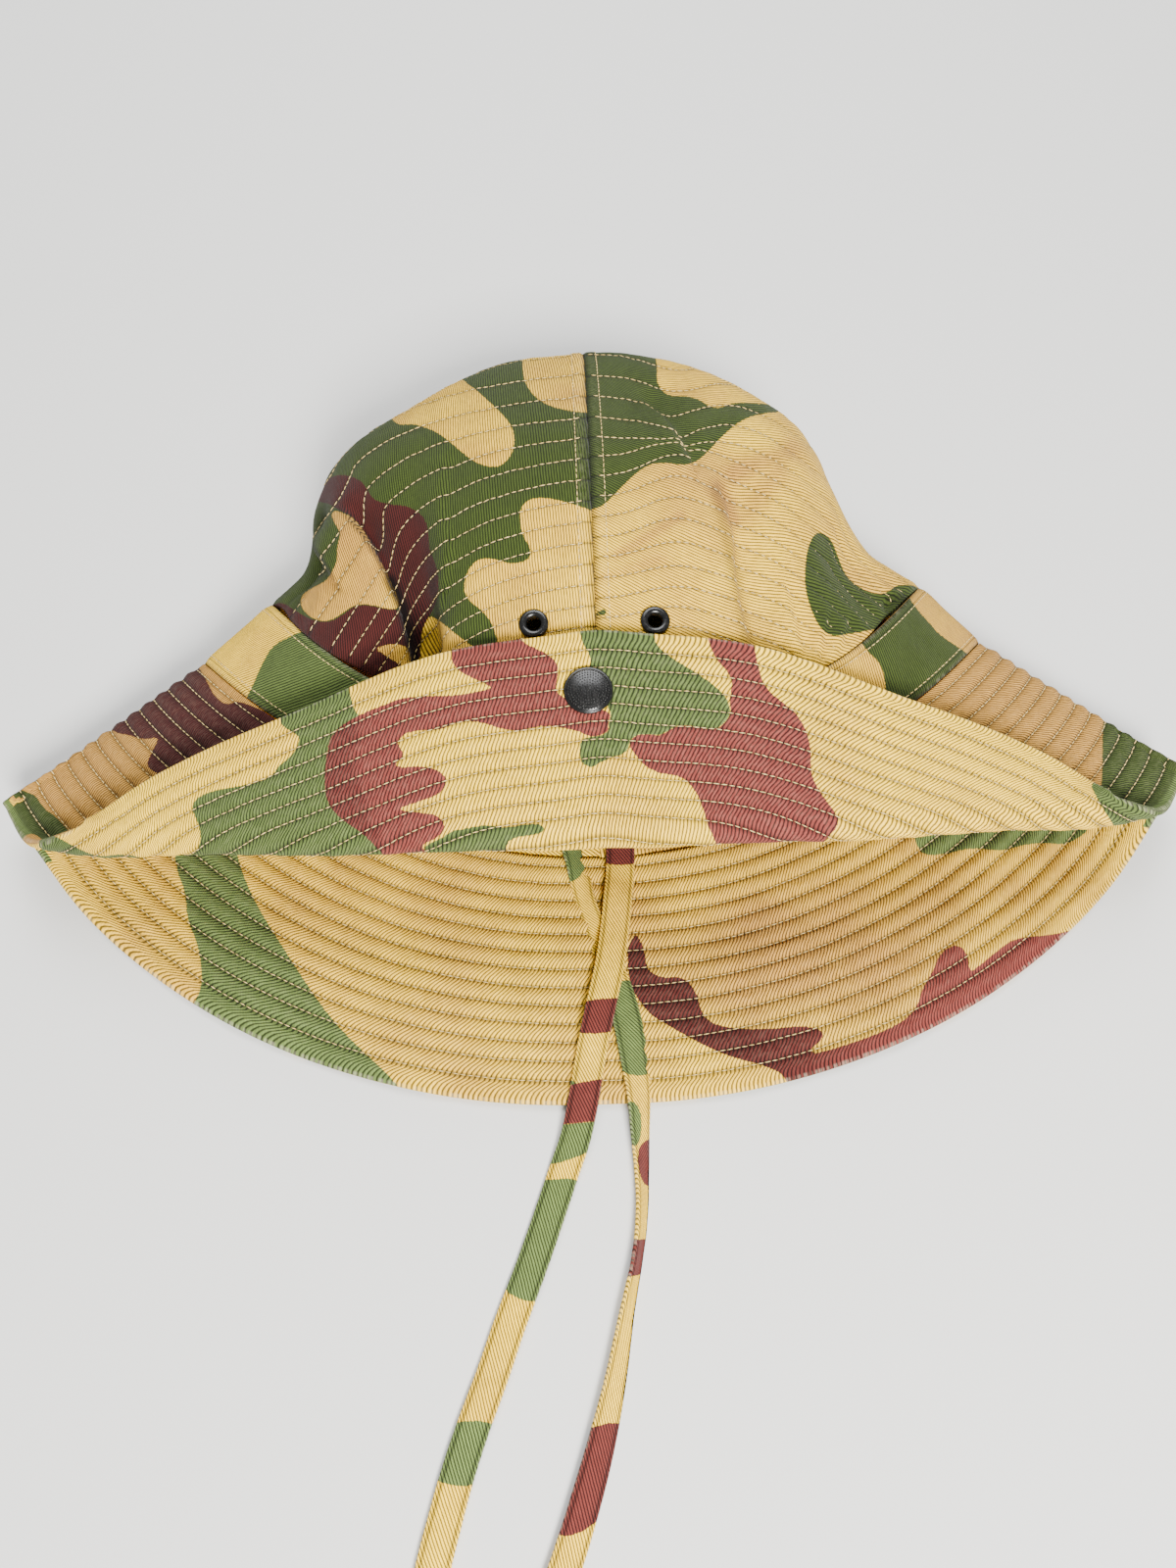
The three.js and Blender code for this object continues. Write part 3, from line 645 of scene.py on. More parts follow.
def depth_inside(places, outline):
    """How far each place lies inside an outline, negative outside."""
    a = rounded(outline)
    b = np.roll(a, -1, axis=0)
    nearest = np.full(len(places), np.inf)
    inside = np.zeros(len(places), bool)
    for p, q in zip(a, b):
        edge = q - p
        to = places - p
        t = np.clip((to @ edge) / max(edge @ edge, 1e-9), 0, 1)[:, None]
        nearest = np.minimum(nearest, np.linalg.norm(to - t * edge, axis=1))
        if p[1] != q[1]:
            cross = p[0] + (places[:, 1] - p[1]) * edge[0] / edge[1]
            inside ^= ((p[1] > places[:, 1]) != (q[1] > places[:, 1])) & (places[:, 0] < cross)
    return np.where(inside, nearest, -nearest)


def printed(places, prints, base="tan"):
    """Depths inside green and inside red, in pixels of the picture."""
    flat = places.reshape(-1, 2)
    green = np.full(len(flat), PATCH_FAR if base == "green" else -PATCH_FAR)
    red = np.full(len(flat), -PATCH_FAR)
    for colour, outline in prints:
        depth = depth_inside(flat, outline)
        if colour == "red":
            red = np.maximum(red, depth)
            continue
        green = np.maximum(green, depth) if colour == "green" else np.minimum(green, -depth)
        red = np.minimum(red, -depth)
    return green.reshape(places.shape[:-1]), red.reshape(places.shape[:-1])


def blots(u, v, seed):
    """The same kind of patches out of noise, for cloth that the camera doesn't see."""
    u, v = np.asarray(u) / BLOT_LONG, np.asarray(v) / BLOT_WIDE
    green = BLOT_DEPTH * (rough(u, v, seed) - GREEN_ABOVE)
    red = BLOT_DEPTH * (rough(u * 1.1 + 7.3, v * 1.1, seed + 4.1) - RED_ABOVE)
    return green, red


print("patches:", sum(map(len, (CROWN_LEFT_PRINT, CROWN_RIGHT_PRINT, BAND_PRINT, BRIM_TOP_PRINT,
                                FLAP_PRINT, BACK_PRINT, LEFT_TIE_PRINT, RIGHT_TIE_PRINT))))

# %% [markdown]
# ## The cloth's material
#
# Twill is woven in slanting ribs. Here the ribs are 0.84 mm apart, so the eye just sees them
# as fine lines. The material reads the cloth coordinates, whose first number runs across the
# ribs. One sine wave makes the ribs, noise makes them uneven, and a bump turns them into
# relief. Ribs as real geometry would take millions of faces. The whole hat is cut from one
# printed twill, so one material serves every piece of cloth.

# %% Colours of the print and a small node helper
RIB_PITCH = 0.84 * MM
TAN = (0.990, 0.625, 0.024, 1)
TAN_SOILED_AND_SHADED = (0.500, 0.255, 0.045, 1)
GREEN = (0.033, 0.050, 0.0065, 1)
GREEN_PALE = (0.125, 0.180, 0.047, 1)
RED = (0.043, 0.0072, 0.006, 1)
RED_PALE = (0.190, 0.038, 0.029, 1)
RUBBED_COTTON = (0.62, 0.56, 0.40, 1)
THREAD = (0.74, 0.56, 0.22, 1)
THREAD_WORN = (0.56, 0.40, 0.13, 1)
THREAD_SHADE = (0.44, 0.31, 0.10, 1)
WAVER, SLUB, BROAD, MOTTLE, FRAY, CRUMPLE = 260.0, 1500.0, 26.0, 90.0, 1400.0, 300.0


class Recipe:
    """Adds nodes to a material and joins them."""

    def __init__(self, name):
        self.material = bpy.data.materials.new(name)
        self.material.use_nodes = True
        self.tree = self.material.node_tree
        self.shader = self.tree.nodes["Principled BSDF"]

    def node(self, kind, settings=None, **inputs):
        made = self.tree.nodes.new(kind)
        for key, value in (settings or {}).items():
            setattr(made, key, value)
        for key, value in inputs.items():
            slot = int(key[1:]) if key[0] == "i" and key[1:].isdigit() else key.replace("_", " ")
            self.feed(made.inputs[slot], value)
        return made

    def feed(self, socket, value):
        if isinstance(value, bpy.types.NodeSocket):
            self.tree.links.new(value, socket)
        else:
            socket.default_value = value

    def maths(self, operation, a, b=0.0, c=0.0):
        made = self.node("ShaderNodeMath", {"operation": operation}, i0=a, i1=b, i2=c)
        return made.outputs[0]

    def ramp(self, value, low, high, out_low=0.0, out_high=1.0):
        made = self.node("ShaderNodeMapRange", {"interpolation_type": "SMOOTHSTEP"},
                         Value=value, From_Min=low, From_Max=high, To_Min=out_low, To_Max=out_high)
        return made.outputs[0]

    def mix(self, share, a, b, blend="MIX"):
        made = self.node("ShaderNodeMix", {"data_type": "RGBA", "blend_type": blend})
        self.feed(made.inputs[0], share)
        self.feed(made.inputs[6], a)
        self.feed(made.inputs[7], b)
        return made.outputs[2]

    def read(self, name):
        return self.node("ShaderNodeAttribute", {"attribute_name": name}).outputs["Fac"]

    def speckle(self, vector, scale, detail=2.0, roughness=0.55):
        made = self.node("ShaderNodeTexNoise", Vector=vector, Scale=scale, Detail=detail,
                         Roughness=roughness)
        return made.outputs[0]


# %% The printed twill
def printed_twill():
    r = Recipe("printed twill")
    cloth = r.node("ShaderNodeUVMap", {"uv_map": "cloth"}).outputs[0]
    parts = r.node("ShaderNodeSeparateXYZ", Vector=cloth)
    place = r.node("ShaderNodeTexCoord").outputs["Object"]

    waver = r.speckle(cloth, WAVER, 2.0)
    across = r.maths("MULTIPLY", parts.outputs[0], 2 * math.pi / RIB_PITCH)
    bent = r.maths("MULTIPLY_ADD", waver, 2.2, across)
    rib = r.maths("MULTIPLY_ADD", r.maths("SINE", bent), 0.5, 0.5)
    yarn_phase = r.maths("MULTIPLY_ADD", parts.outputs[1], 2 * math.pi / (0.9 * RIB_PITCH), bent)
    yarn = r.maths("MULTIPLY_ADD", r.maths("SINE", yarn_phase), 0.5, 0.5)

    # Threads of a weave differ in shade along their length, so the noise is drawn out on the ribs.
    stretched = r.node("ShaderNodeMapping", Vector=cloth, Scale=(1.0, 0.22, 1.0)).outputs[0]
    slub = r.speckle(stretched, SLUB, 2.0, 0.7)
    broad = r.speckle(place, BROAD, 3.0)
    mottle = r.speckle(place, MOTTLE, 3.0)

    # This value browns and darkens the tan: it carries stains, and painted shade on the brim
    # beside the flap.
    soil = r.maths("MULTIPLY_ADD", r.read("soil"), 0.8, -0.38)
    soiled = r.ramp(r.maths("MULTIPLY_ADD", broad, 0.9, soil), 0.0, 0.75)
    tan = r.mix(soiled, TAN, TAN_SOILED_AND_SHADED)

    # The dye bleeds a little along the threads, so a patch's edge is not a perfect line.
    fray = r.maths("MULTIPLY_ADD", r.speckle(cloth, FRAY, 1.0), 2.4, -1.2)
    green_edge = r.maths("ADD", r.read("green"), fray)
    red_edge = r.maths("ADD", r.read("red"), fray)
    # The fade value makes the dye paler: dye faded on the brim, and painted light on the band's
    # left side.
    faded = r.read("fade")
    dyed = r.mix(r.ramp(green_edge, -0.5, 0.5), tan, r.mix(faded, GREEN, GREEN_PALE))
    dyed = r.mix(r.ramp(red_edge, -0.5, 0.5), dyed, r.mix(faded, RED, RED_PALE))

    # A sewn line lies wherever the row number is whole: it is pulled in, and dark with shadow.
    from_row = r.maths("PINGPONG", r.maths("ADD", r.read("row"), 0.5), 0.5)
    to_row = r.maths("SUBTRACT", 0.5, from_row)
    faint = r.maths("MULTIPLY", r.read("faint"), 0.9)
    sewn = r.maths("MAXIMUM", r.ramp(to_row, 0.012, 0.075, 0.46, 1.0), faint)

    # The colour is darkened by painted shade in the troughs of the ribs, along the sewn rows, in
    # the tightest creases and beside the flap, and by dark seam lines; slub and mottle are the
    # cloth's own uneven tone.
    shade = r.ramp(rib, 0.0, 0.72, 0.16, 1.14)
    for part in (r.ramp(yarn, 0.0, 1.0, 0.90, 1.06), r.ramp(slub, 0.25, 0.75, 0.82, 1.14),
                 r.ramp(mottle, 0.3, 0.7, 0.95, 1.05),
                 r.ramp(r.read("groove"), 0.0, 2.0, 1.0, 0.08), sewn,
                 r.ramp(to_row, 0.03, 0.25, 0.90, 1.0)):
        shade = r.maths("MULTIPLY", shade, part)
    tone = r.node("ShaderNodeCombineColor", i0=shade, i1=shade, i2=shade).outputs[0]
    colour = r.mix(1.0, dyed, tone, "MULTIPLY")

    # Rubbed folds and hems show paler cotton under the dye.
    rubbed = r.maths("MULTIPLY", r.read("wear"), r.ramp(slub, 0.42, 0.62))
    colour = r.mix(r.maths("MULTIPLY", rubbed, 0.5), colour, RUBBED_COTTON)
    r.feed(r.shader.inputs["Base Color"], colour)
    r.shader.inputs["Roughness"].default_value = 0.88
    r.shader.inputs["Specular IOR Level"].default_value = 0.15
    r.shader.inputs["Sheen Weight"].default_value = 0.04
    r.shader.inputs["Sheen Roughness"].default_value = 0.5

    relief = r.maths("MULTIPLY_ADD", yarn, 0.3, rib)
    relief = r.maths("MULTIPLY_ADD", slub, 0.5, relief)
    relief = r.maths("ADD", relief, r.ramp(to_row, 0.0, 0.09, -2.0, 0.0))
    fine = r.node("ShaderNodeBump", Strength=0.7, Distance=0.16 * MM, Height=relief)
    crease = r.speckle(place, CRUMPLE, 3.0)
    soft = r.node("ShaderNodeBump", Strength=0.35, Distance=0.5 * MM, Height=crease,
                  Normal=fine.outputs[0])
    r.feed(r.shader.inputs["Normal"], soft.outputs[0])
    return r.material


cloth_material = printed_twill()
print("made the cloth with", len(cloth_material.node_tree.nodes), "nodes")


# %% [markdown]
# ## Thread
#
# The thread is thicker than the cloth's own yarns and lies on top of them. Each stitch is a
# tiny spindle. It is shaped once and then laid along the sewn lines as one joined mesh,
# because thousands of separate objects would be slow to handle.

# %% Thread material and the stitch layer
STITCH_PITCH = 2.2
STITCH_SHARE = 0.80
THREAD_WIDE = 0.28
THREAD_HIGH = 0.26
THREAD_LIFT = 0.10
THREAD_SEED = 7
STITCH_UNEVEN = (0.86, 1.08)
STITCH_SKEW = 0.05


def thread_material():
    r = Recipe("cotton thread")
    place = r.node("ShaderNodeTexCoord").outputs["Object"]
    ply = r.speckle(place, 2600.0, 2.0)
    worn = r.speckle(place, 120.0, 2.0)
    pale = r.mix(r.ramp(worn, 0.35, 0.7), THREAD, THREAD_WORN)
    dark = r.mix(r.ramp(ply, 0.3, 0.6), THREAD_SHADE, pale)
    r.feed(r.shader.inputs["Base Color"], dark)
    r.shader.inputs["Roughness"].default_value = 0.7
    r.shader.inputs["Sheen Weight"].default_value = 0.1
    bump = r.node("ShaderNodeBump", Strength=0.4, Distance=0.08 * MM, Height=ply)
    r.feed(r.shader.inputs["Normal"], bump.outputs[0])
    return r.material


thread = thread_material()


def stitch_form():
    """One stitch along X: a cube, drawn in at both ends into a spindle."""
    bm = bmesh.new()
    bmesh.ops.create_cube(bm, size=1.0)
    bmesh.ops.subdivide_edges(
        bm, edges=[e for e in bm.edges if abs(e.verts[0].co.x - e.verts[1].co.x) > 0.5], cuts=1)
    for v in bm.verts:
        if abs(v.co.x) > 0.4:
            v.co.y *= 0.45
            v.co.z *= 0.3
    bmesh.ops.recalc_face_normals(bm, faces=bm.faces)
    bmesh.ops.triangulate(bm, faces=bm.faces)
    return small_shape(bm)


STITCH_CORNERS, STITCH_FACES = stitch_form()


def along_line(points, outs, pitch):
    """Places every pitch along a line of points in millimetres, with way and outward."""
    step = np.linalg.norm(np.diff(points, axis=0), axis=1)
    walked = np.r_[0, np.cumsum(step)]
    count = max(int(walked[-1] / pitch), 1)
    at = (np.arange(count) + 0.5) * walked[-1] / count

    def pick(values, where):
        return np.stack([np.interp(where, walked, values[:, k]) for k in range(3)], axis=1)

    middle = pick(points, at)
    way = pick(points, np.minimum(at + 0.3 * pitch, walked[-1])) - pick(points, at - 0.3 * pitch)
    way /= np.maximum(np.linalg.norm(way, axis=1, keepdims=True), 1e-9)
    out = pick(outs, at)
    out -= way * np.sum(out * way, axis=1, keepdims=True)
    out /= np.maximum(np.linalg.norm(out, axis=1, keepdims=True), 1e-9)
    return middle, way, out


def sew(name, lines):
    """Joins all the stitches along several lines, each a pair of points and outward ways."""
    chance = np.random.default_rng(THREAD_SEED)
    blocks = []
    for points, outs in lines:
        middle, way, out = along_line(points, outs, STITCH_PITCH)
        side = np.cross(out, way)
        long = STITCH_PITCH * STITCH_SHARE * chance.uniform(*STITCH_UNEVEN, len(middle))
        skew = chance.normal(0, STITCH_SKEW, len(middle))
        way = way + side * skew[:, None]
        c = STITCH_CORNERS
        block = (middle[:, None] + way[:, None] * (c[:, 0] * long[:, None])[..., None]
                 + side[:, None] * (c[:, 1] * THREAD_WIDE)[None, :, None]
                 + out[:, None] * (c[:, 2] * THREAD_HIGH + THREAD_LIFT)[None, :, None])
        blocks.append(block)
    stitches = np.concatenate(blocks) * MM
    print(name, "has", len(stitches), "stitches")
    return piece(joined_copies(name, stitches, STITCH_FACES), thread)


# %% [markdown]
# ## The brim
#
# The real brim is two rings of twill with a stiffener between them, held together by thirteen
# rows of stitching that run parallel to its edge. It is one closed loop of cloth in section:
# the top side, the rolled hem, and the underside. In front it is folded over, so its
# underside is what one sees as the turned-up flap. The loop is a grid of its own shape, more
# crowded near the two tips, where the fold runs out.

# %% Shape the brim
BRIM_COLUMNS_ROUND = 440
HEM_ROWS = 6
FIRST_ROW = 5.6
LAST_ROW = 3.4
SEWN_ROWS = 13
CHANNEL_CELLS = (0.0, 0.07, 0.24, 0.5, 0.76, 0.93)
CHANNEL_FULLNESS = 0.70
PUFF_HIGH = 0.5
PUCKER_HIGH = 0.2
PUCKER_PITCH = 4.2


def crowded_turns(count):
    """Turns round the hat, closer together near the tips of the brim."""
    even = np.linspace(-180, 180, 2001)
    weight = 1 + 1.3 * hill(np.abs(even), 68, 16)
    walked = np.r_[0, np.cumsum(0.5 * (weight[1:] + weight[:-1]))]
    return np.interp(np.linspace(0, walked[-1], count + 1), walked, even)


def sewn_reaches():
    """Reaches across the brim with a grid line on every sewn row and more close beside it."""
    first, last = FIRST_ROW / BRIM_WIDTH, LAST_ROW / BRIM_WIDTH
    pitch = (1 - first - last) / (SEWN_ROWS - 1)
    rows = last + pitch * np.arange(SEWN_ROWS - 1)
    inner = [0.003, 0.4 * last, 0.8 * last]
    outer = [1 - first, 1 - 0.93 * first, 1 - 0.6 * first, 1 - 0.25 * first, 1 - 0.08 * first, 1]
    channels = (rows[:, None] + pitch * np.array(CHANNEL_CELLS)[None, :]).ravel()
    return np.concatenate([inner, channels, outer]), pitch


brim_turn = crowded_turns(BRIM_COLUMNS_ROUND)[:, None]
reaches, reach_pitch = sewn_reaches()
brim_reach = reaches[None, :]
BRIM_ROWS = len(reaches) - 1
brim_skin = soften(skin(brim_turn, -brim_reach) + SHIFT, 5)
brim_out = -directions(brim_skin, ring=True)

brim_width = read(BRIM_SECTIONS, BRIM_COLUMNS, np.abs(brim_turn), "reach") * BRIM_WIDTH
from_edge = (1 - brim_reach) * brim_width
row_place = (1 - FIRST_ROW / BRIM_WIDTH - brim_reach) / reach_pitch + 0 * from_edge
round_way = brim_turn / 360 * BRIM_ROUND * np.ones_like(from_edge)


def channel(place):
    """Height of a sewn channel between two rows of stitching, 0 at the rows."""
    return np.abs(np.sin(np.pi * place)) ** CHANNEL_FULLNESS


hem = ease(0.0, 2.2, from_edge)
puff = np.where(row_place < 0, 0.75 * np.clip(-row_place * 2.4, 0, 1) ** 0.6 * hem,
                channel(row_place))
puff = np.where(row_place > SEWN_ROWS - 1, 0.3 * channel(row_place), puff)
near_row = np.where(row_place < -0.5, 0, 1 - channel(row_place))
pucker_across = np.floor(row_place) * 2.7 + row_place * 0.7
pucker_top = rough(round_way / PUCKER_PITCH, pucker_across, 3.0)
pucker_under = rough(round_way / PUCKER_PITCH, pucker_across, 9.0)
slack = rough(round_way / 24.0, from_edge / 17.0, 5.0)

# The side brims are pushed together where they lie between band and tip, so they puff more.
pushed = hill(np.abs(brim_turn), 72, 26)
puff_top = puff * (PUFF_HIGH + 0.45 * pushed) + pucker_top * (0.16 + PUCKER_HIGH * near_row)
lying = ease(100, 130, np.abs(brim_turn))
puff_top = puff_top * (1 - 0.85 * lying)
gathered = hill(np.abs(brim_turn), 122, 22) * (0.75 + 0.25 * np.sign(brim_turn))
puff_under = puff * (PUFF_HIGH + 0.32 * lying + 0.5 * gathered)
puff_under = puff_under + pucker_under * (0.14 + 0.16 * lying + PUCKER_HIGH * near_row)
puff_under = puff_under + slack * lying

top_side = brim_skin + brim_out * puff_top[..., None]
under_side = brim_skin - brim_out * (BRIM_WALL + puff_under)[..., None]
top_side[..., 2] = np.maximum(top_side[..., 2], 0.0)

edge_way = brim_skin[:, -1] - brim_skin[:, -3]
edge_way /= np.linalg.norm(edge_way, axis=1, keepdims=True)
middle = 0.5 * (top_side[:, -1] + under_side[:, -1])
arm = top_side[:, -1] - middle
hem_angle = np.linspace(0, np.pi, HEM_ROWS + 2)[1:-1]
hem_roll = (middle[:, None] + arm[:, None] * np.cos(hem_angle)[None, :, None]
            + edge_way[:, None] * (1.25 * np.sin(hem_angle))[None, :, None])
hem_roll[..., 2] = np.maximum(hem_roll[..., 2], 0.0)
loop = np.concatenate([top_side, hem_roll, under_side[:, ::-1], top_side[:, :1]], axis=1)
print("brim loop:", loop.shape[0] - 1, "columns,", loop.shape[1] - 1, "rows")

# %% Colour the brim and make its mesh
TOP_SHOWS_FROM = 43
TOP_SHOWS_TO = 120
FLAP_TO = 66
FLAP_PRINT_LAPS = 1.5
HEM_FROM = 0.985
RIM_FROM = 78
RIM_TO = 104
RIM_ABOVE = 815
PIECED_AT = -108.5
UNDER_SLANT = {0: 10, 30: 26, 60: 32, 90: 50, 115: 58, 130: 42, 150: 28, 180: 22}
TOP_SLANT = {-180: 25, -70: 5, 0: 25, 70: 48, 180: 25}
SIDE_TURN = 72

flat_reach = np.concatenate([
    np.repeat(brim_reach, loop.shape[0], axis=0),
    np.ones((loop.shape[0], HEM_ROWS)),
    np.repeat(brim_reach[:, ::-1], loop.shape[0], axis=0),
    np.zeros((loop.shape[0], 1)),
], axis=1)
is_under = np.zeros(loop.shape[:2], bool)
is_under[:, BRIM_ROWS + 1 + HEM_ROWS // 2:-1] = True
turn_all = np.repeat(brim_turn, loop.shape[1], axis=1)
aside = np.abs(turn_all)
u_all = turn_all / 360 * BRIM_ROUND
v_all = flat_reach * brim_width
seen = seen_at(loop * MM)
seen_across, seen_down = seen[..., 0], seen[..., 1]

fold_at = read(BRIM_SECTIONS, BRIM_COLUMNS, np.abs(brim_turn), "fold") * BRIM_WIDTH
bend_half = 0.5 * math.pi * FOLD_RADIUS * read(
    BRIM_SECTIONS, BRIM_COLUMNS, np.abs(brim_turn), "round")
on_flap = is_under & (v_all > fold_at - FLAP_PRINT_LAPS)
shown_top = (aside > TOP_SHOWS_FROM) & (aside < TOP_SHOWS_TO) & ~is_under
shown_top &= v_all < fold_at + bend_half
flap_hem = (flat_reach > HEM_FROM) & (aside < FLAP_TO)
side_hem = (flat_reach > HEM_FROM) & (aside >= FLAP_TO) & (aside < TOP_SHOWS_TO)

# The side brims turn over at their outline, where a strip of the underside shows past the top.
rim_strip = is_under & ~on_flap & (aside > RIM_FROM) & (aside < RIM_TO)
rim_strip &= seen_down < RIM_ABOVE

top_print = printed(seen, BRIM_TOP_PRINT)
green, red = blots(u_all, v_all, 2.0)
for where, (green_there, red_there) in (
        (shown_top, top_print), (is_under, printed(seen, BACK_PRINT)),
        (on_flap | flap_hem, printed(seen, FLAP_PRINT)), (side_hem | rim_strip, top_print)):
    green = np.where(where, green_there, green)
    red = np.where(where, red_there, red)

# The underside is pieced at the left, where a fine dark seam runs from the edge inwards. Beside
# the flap the top side gets painted shade: darker and browner, where the flap shades it.
beside = ease(35, 55, aside) * (1 - ease(112, 128, aside)) * (~is_under | rim_strip)
loop_groove = is_under * hill(turn_all, PIECED_AT + 4 * flat_reach, 0.22) + 0.32 * beside
loop_wear = np.concatenate([
    puff * 0.06, np.full((loop.shape[0], HEM_ROWS), 0.4), (puff * 0.06)[:, ::-1],
    np.zeros((loop.shape[0], 1))], axis=1)
# The flap's painted shade also browns the side brims; the back of the underside is darker and
# browner, most at the right of the crescent.
loop_soil = 0.1 + 0.25 * is_under * ease(95, 130, aside) + beside
loop_soil = loop_soil + 0.45 * is_under * hill(seen_across, 820, 120) * hill(seen_down, 960, 60)

# The flap and the crescent have faded in the sun, the green more than the red.
red_fade = np.where(on_flap, 1.0, 0.2 + 0.75 * ease(760, 950, seen_across))
green_fade = np.where(on_flap, 0.54, 0.80)
loop_fade = np.where(green > red, green_fade, red_fade)
loop_fade = np.where((is_under & ~rim_strip) | (flat_reach > HEM_FROM), loop_fade, 0.1)

under_slant = np.interp(aside, list(UNDER_SLANT), list(UNDER_SLANT.values()))
top_slant = np.interp(turn_all, list(TOP_SLANT), list(TOP_SLANT.values()))
under_uv = turning_ribs(u_all, v_all - BRIM_WIDTH / 2, under_slant)
top_uv = ribs_beside(loop, v_all - BRIM_WIDTH / 2, top_slant, brim_turn[:, 0], SIDE_TURN)
loop_row = (1 - FIRST_ROW / BRIM_WIDTH - flat_reach) / reach_pitch
mesh = cloth_mesh("quilted_brim", loop, np.where(is_under[..., None], under_uv, top_uv),
                  green=green, red=red, groove=loop_groove, wear=loop_wear, soil=loop_soil,
                  fade=loop_fade, row=np.where(loop_row < -0.8, -0.5, loop_row))
piece(finish_mesh(mesh), cloth_material, "brim")
print("brim faces:", len(mesh.polygons))

# %% Sew the brim

def brim_rows(surface, outs):
    """The sewn lines of one side of the brim, each along one line of its grid."""
    sewn = (np.abs(row_place[0] - np.rint(row_place[0])) < 0.01) & (row_place[0] > -0.5)
    return [(surface[:, k], outs[:, k]) for k in np.nonzero(sewn)[0]]


sew("brim_thread_under", brim_rows(under_side, -brim_out))
sew("brim_thread_top", brim_rows(top_side, brim_out))

# %% [markdown]
# ## The band
#
# The band is a straight strip of twill round the head opening. Its folded edges lie over the
# crown and over the brim and are stitched down close to the fold, so the strip stands a
# little proud of both.

# %% Shape the band
BAND_COLUMNS_ROUND = 360
BAND_ROWS = 18
BAND_STITCH = 2.2
band_turn = crowded_turns(BAND_COLUMNS_ROUND)[:, None]
band_level = np.linspace(0.004, 0.996, BAND_ROWS + 1)[None, :]
band_skin = skin(band_turn, band_level) + SHIFT
band_out = directions(band_skin, ring=True)
band_along = np.linalg.norm(band_skin[:, -1] - band_skin[:, 0], axis=1)[:, None]
from_seam = np.minimum(band_level, 1 - band_level) * band_along
proud = 0.75 * ease(0, 1.0, from_seam) - 0.35 * hill(from_seam, BAND_STITCH, 0.7)
ripple = rough(band_turn / 360 * BAND_ROUND / 9.0, band_level * 2.2, 12.0)
band_top = band_skin + band_out * (proud + 0.3 * ripple * ease(0, 4, from_seam))[..., None]
band_top[..., 2] = np.maximum(band_top[..., 2], 0.0)
band_inner = band_skin - band_out * BAND_WALL
band_loop = np.concatenate([band_top, band_inner[:, ::-1], band_top[:, :1]], axis=1)

# %% Colour the band and make its mesh
BAND_SHOWN_TO = 88
BAND_SLANT_LEFT = 134
BAND_SLANT_RIGHT = 98

turn_all = np.repeat(band_turn, band_loop.shape[1], axis=1)
inside = np.zeros(band_loop.shape[:2], bool)
inside[:, BAND_ROWS + 1:-1] = True
level_all = np.concatenate([np.repeat(band_level, len(band_turn), axis=0),
                            np.repeat(band_level[:, ::-1], len(band_turn), axis=0),
                            np.zeros((len(band_turn), 1))], axis=1)
u_all, v_all = turn_all / 360 * BAND_ROUND, level_all * BAND_WIDTH
shown = (np.abs(turn_all) < BAND_SHOWN_TO) & ~inside
green, red = (np.where(shown, there, blot) for there, blot in
              zip(printed(seen_at(band_loop * MM), BAND_PRINT), blots(u_all, v_all, 21.0)))
green[inside], red[inside] = -PATCH_FAR, -PATCH_FAR
band_uv = np.where((turn_all < 0)[..., None], ribs(u_all, v_all, BAND_SLANT_LEFT),
                   ribs(u_all, v_all, BAND_SLANT_RIGHT))
edge_groove = np.concatenate([hill(from_seam, 0, 0.8), np.zeros_like(band_inner[..., 0]),
                              np.ones((len(band_turn), 1))], axis=1)
edge_row = np.minimum(from_seam / BAND_STITCH, 1.5)
# On the band's left side, which the window lamp leaves in shade, the dye is painted paler as
# painted light. The band's right side is darker and browner than its left.
mesh = cloth_mesh(
    "twill_band", band_loop, band_uv, green=green, red=red, groove=edge_groove,
    wear=0.3 * edge_groove, soil=np.where(turn_all > 0, 0.5, 0.1),
    fade=np.where(turn_all < 0, 0.4, 0.03),
    row=np.concatenate([edge_row, 0 * edge_row + 0.5, edge_row[:, :1]], axis=1))
piece(finish_mesh(mesh), cloth_material, "hat_band")

# %% Sew the band's edges
band_lines = []
for level in (BAND_STITCH / BAND_WIDTH, 1 - BAND_STITCH / BAND_WIDTH):
    k = int(round(level * BAND_ROWS))
    band_lines.append((band_top[:, k], band_out[:, k]))
sew("band_thread", band_lines)

# %% [markdown]
# ## The crown
#
# Each crown panel is a half dome, quilted in rows that cross the head from side to side, so
# seen from above they lie level and drop down at the sides. The panels meet in a felled seam
# over the middle, with a puckered strip and a line of stitching on each side of it. The slack
# cloth has fallen into folds: one deep pinch on the left, where a lump of cloth lies over a
# dark valley, and softer hollows on the right.

# %% Folds of the slack crown
DENT_COLUMNS = ("turn", "rise", "wide", "long", "depth")
CROWN_DENTS = np.array([
    (-34, 0.03, 7, 0.28, 0.24),
    (-54, 0.22, 9, 0.16, -0.07),
    (-72, 0.16, 8, 0.14, 0.10),
    (31, 0.32, 8, 0.22, 0.08),
    (58, 0.10, 9, 0.14, 0.06),
    (12, 0.70, 9, 0.10, 0.04),
])
DENTS_FULL = 0.4
DENTS_END = 0.62

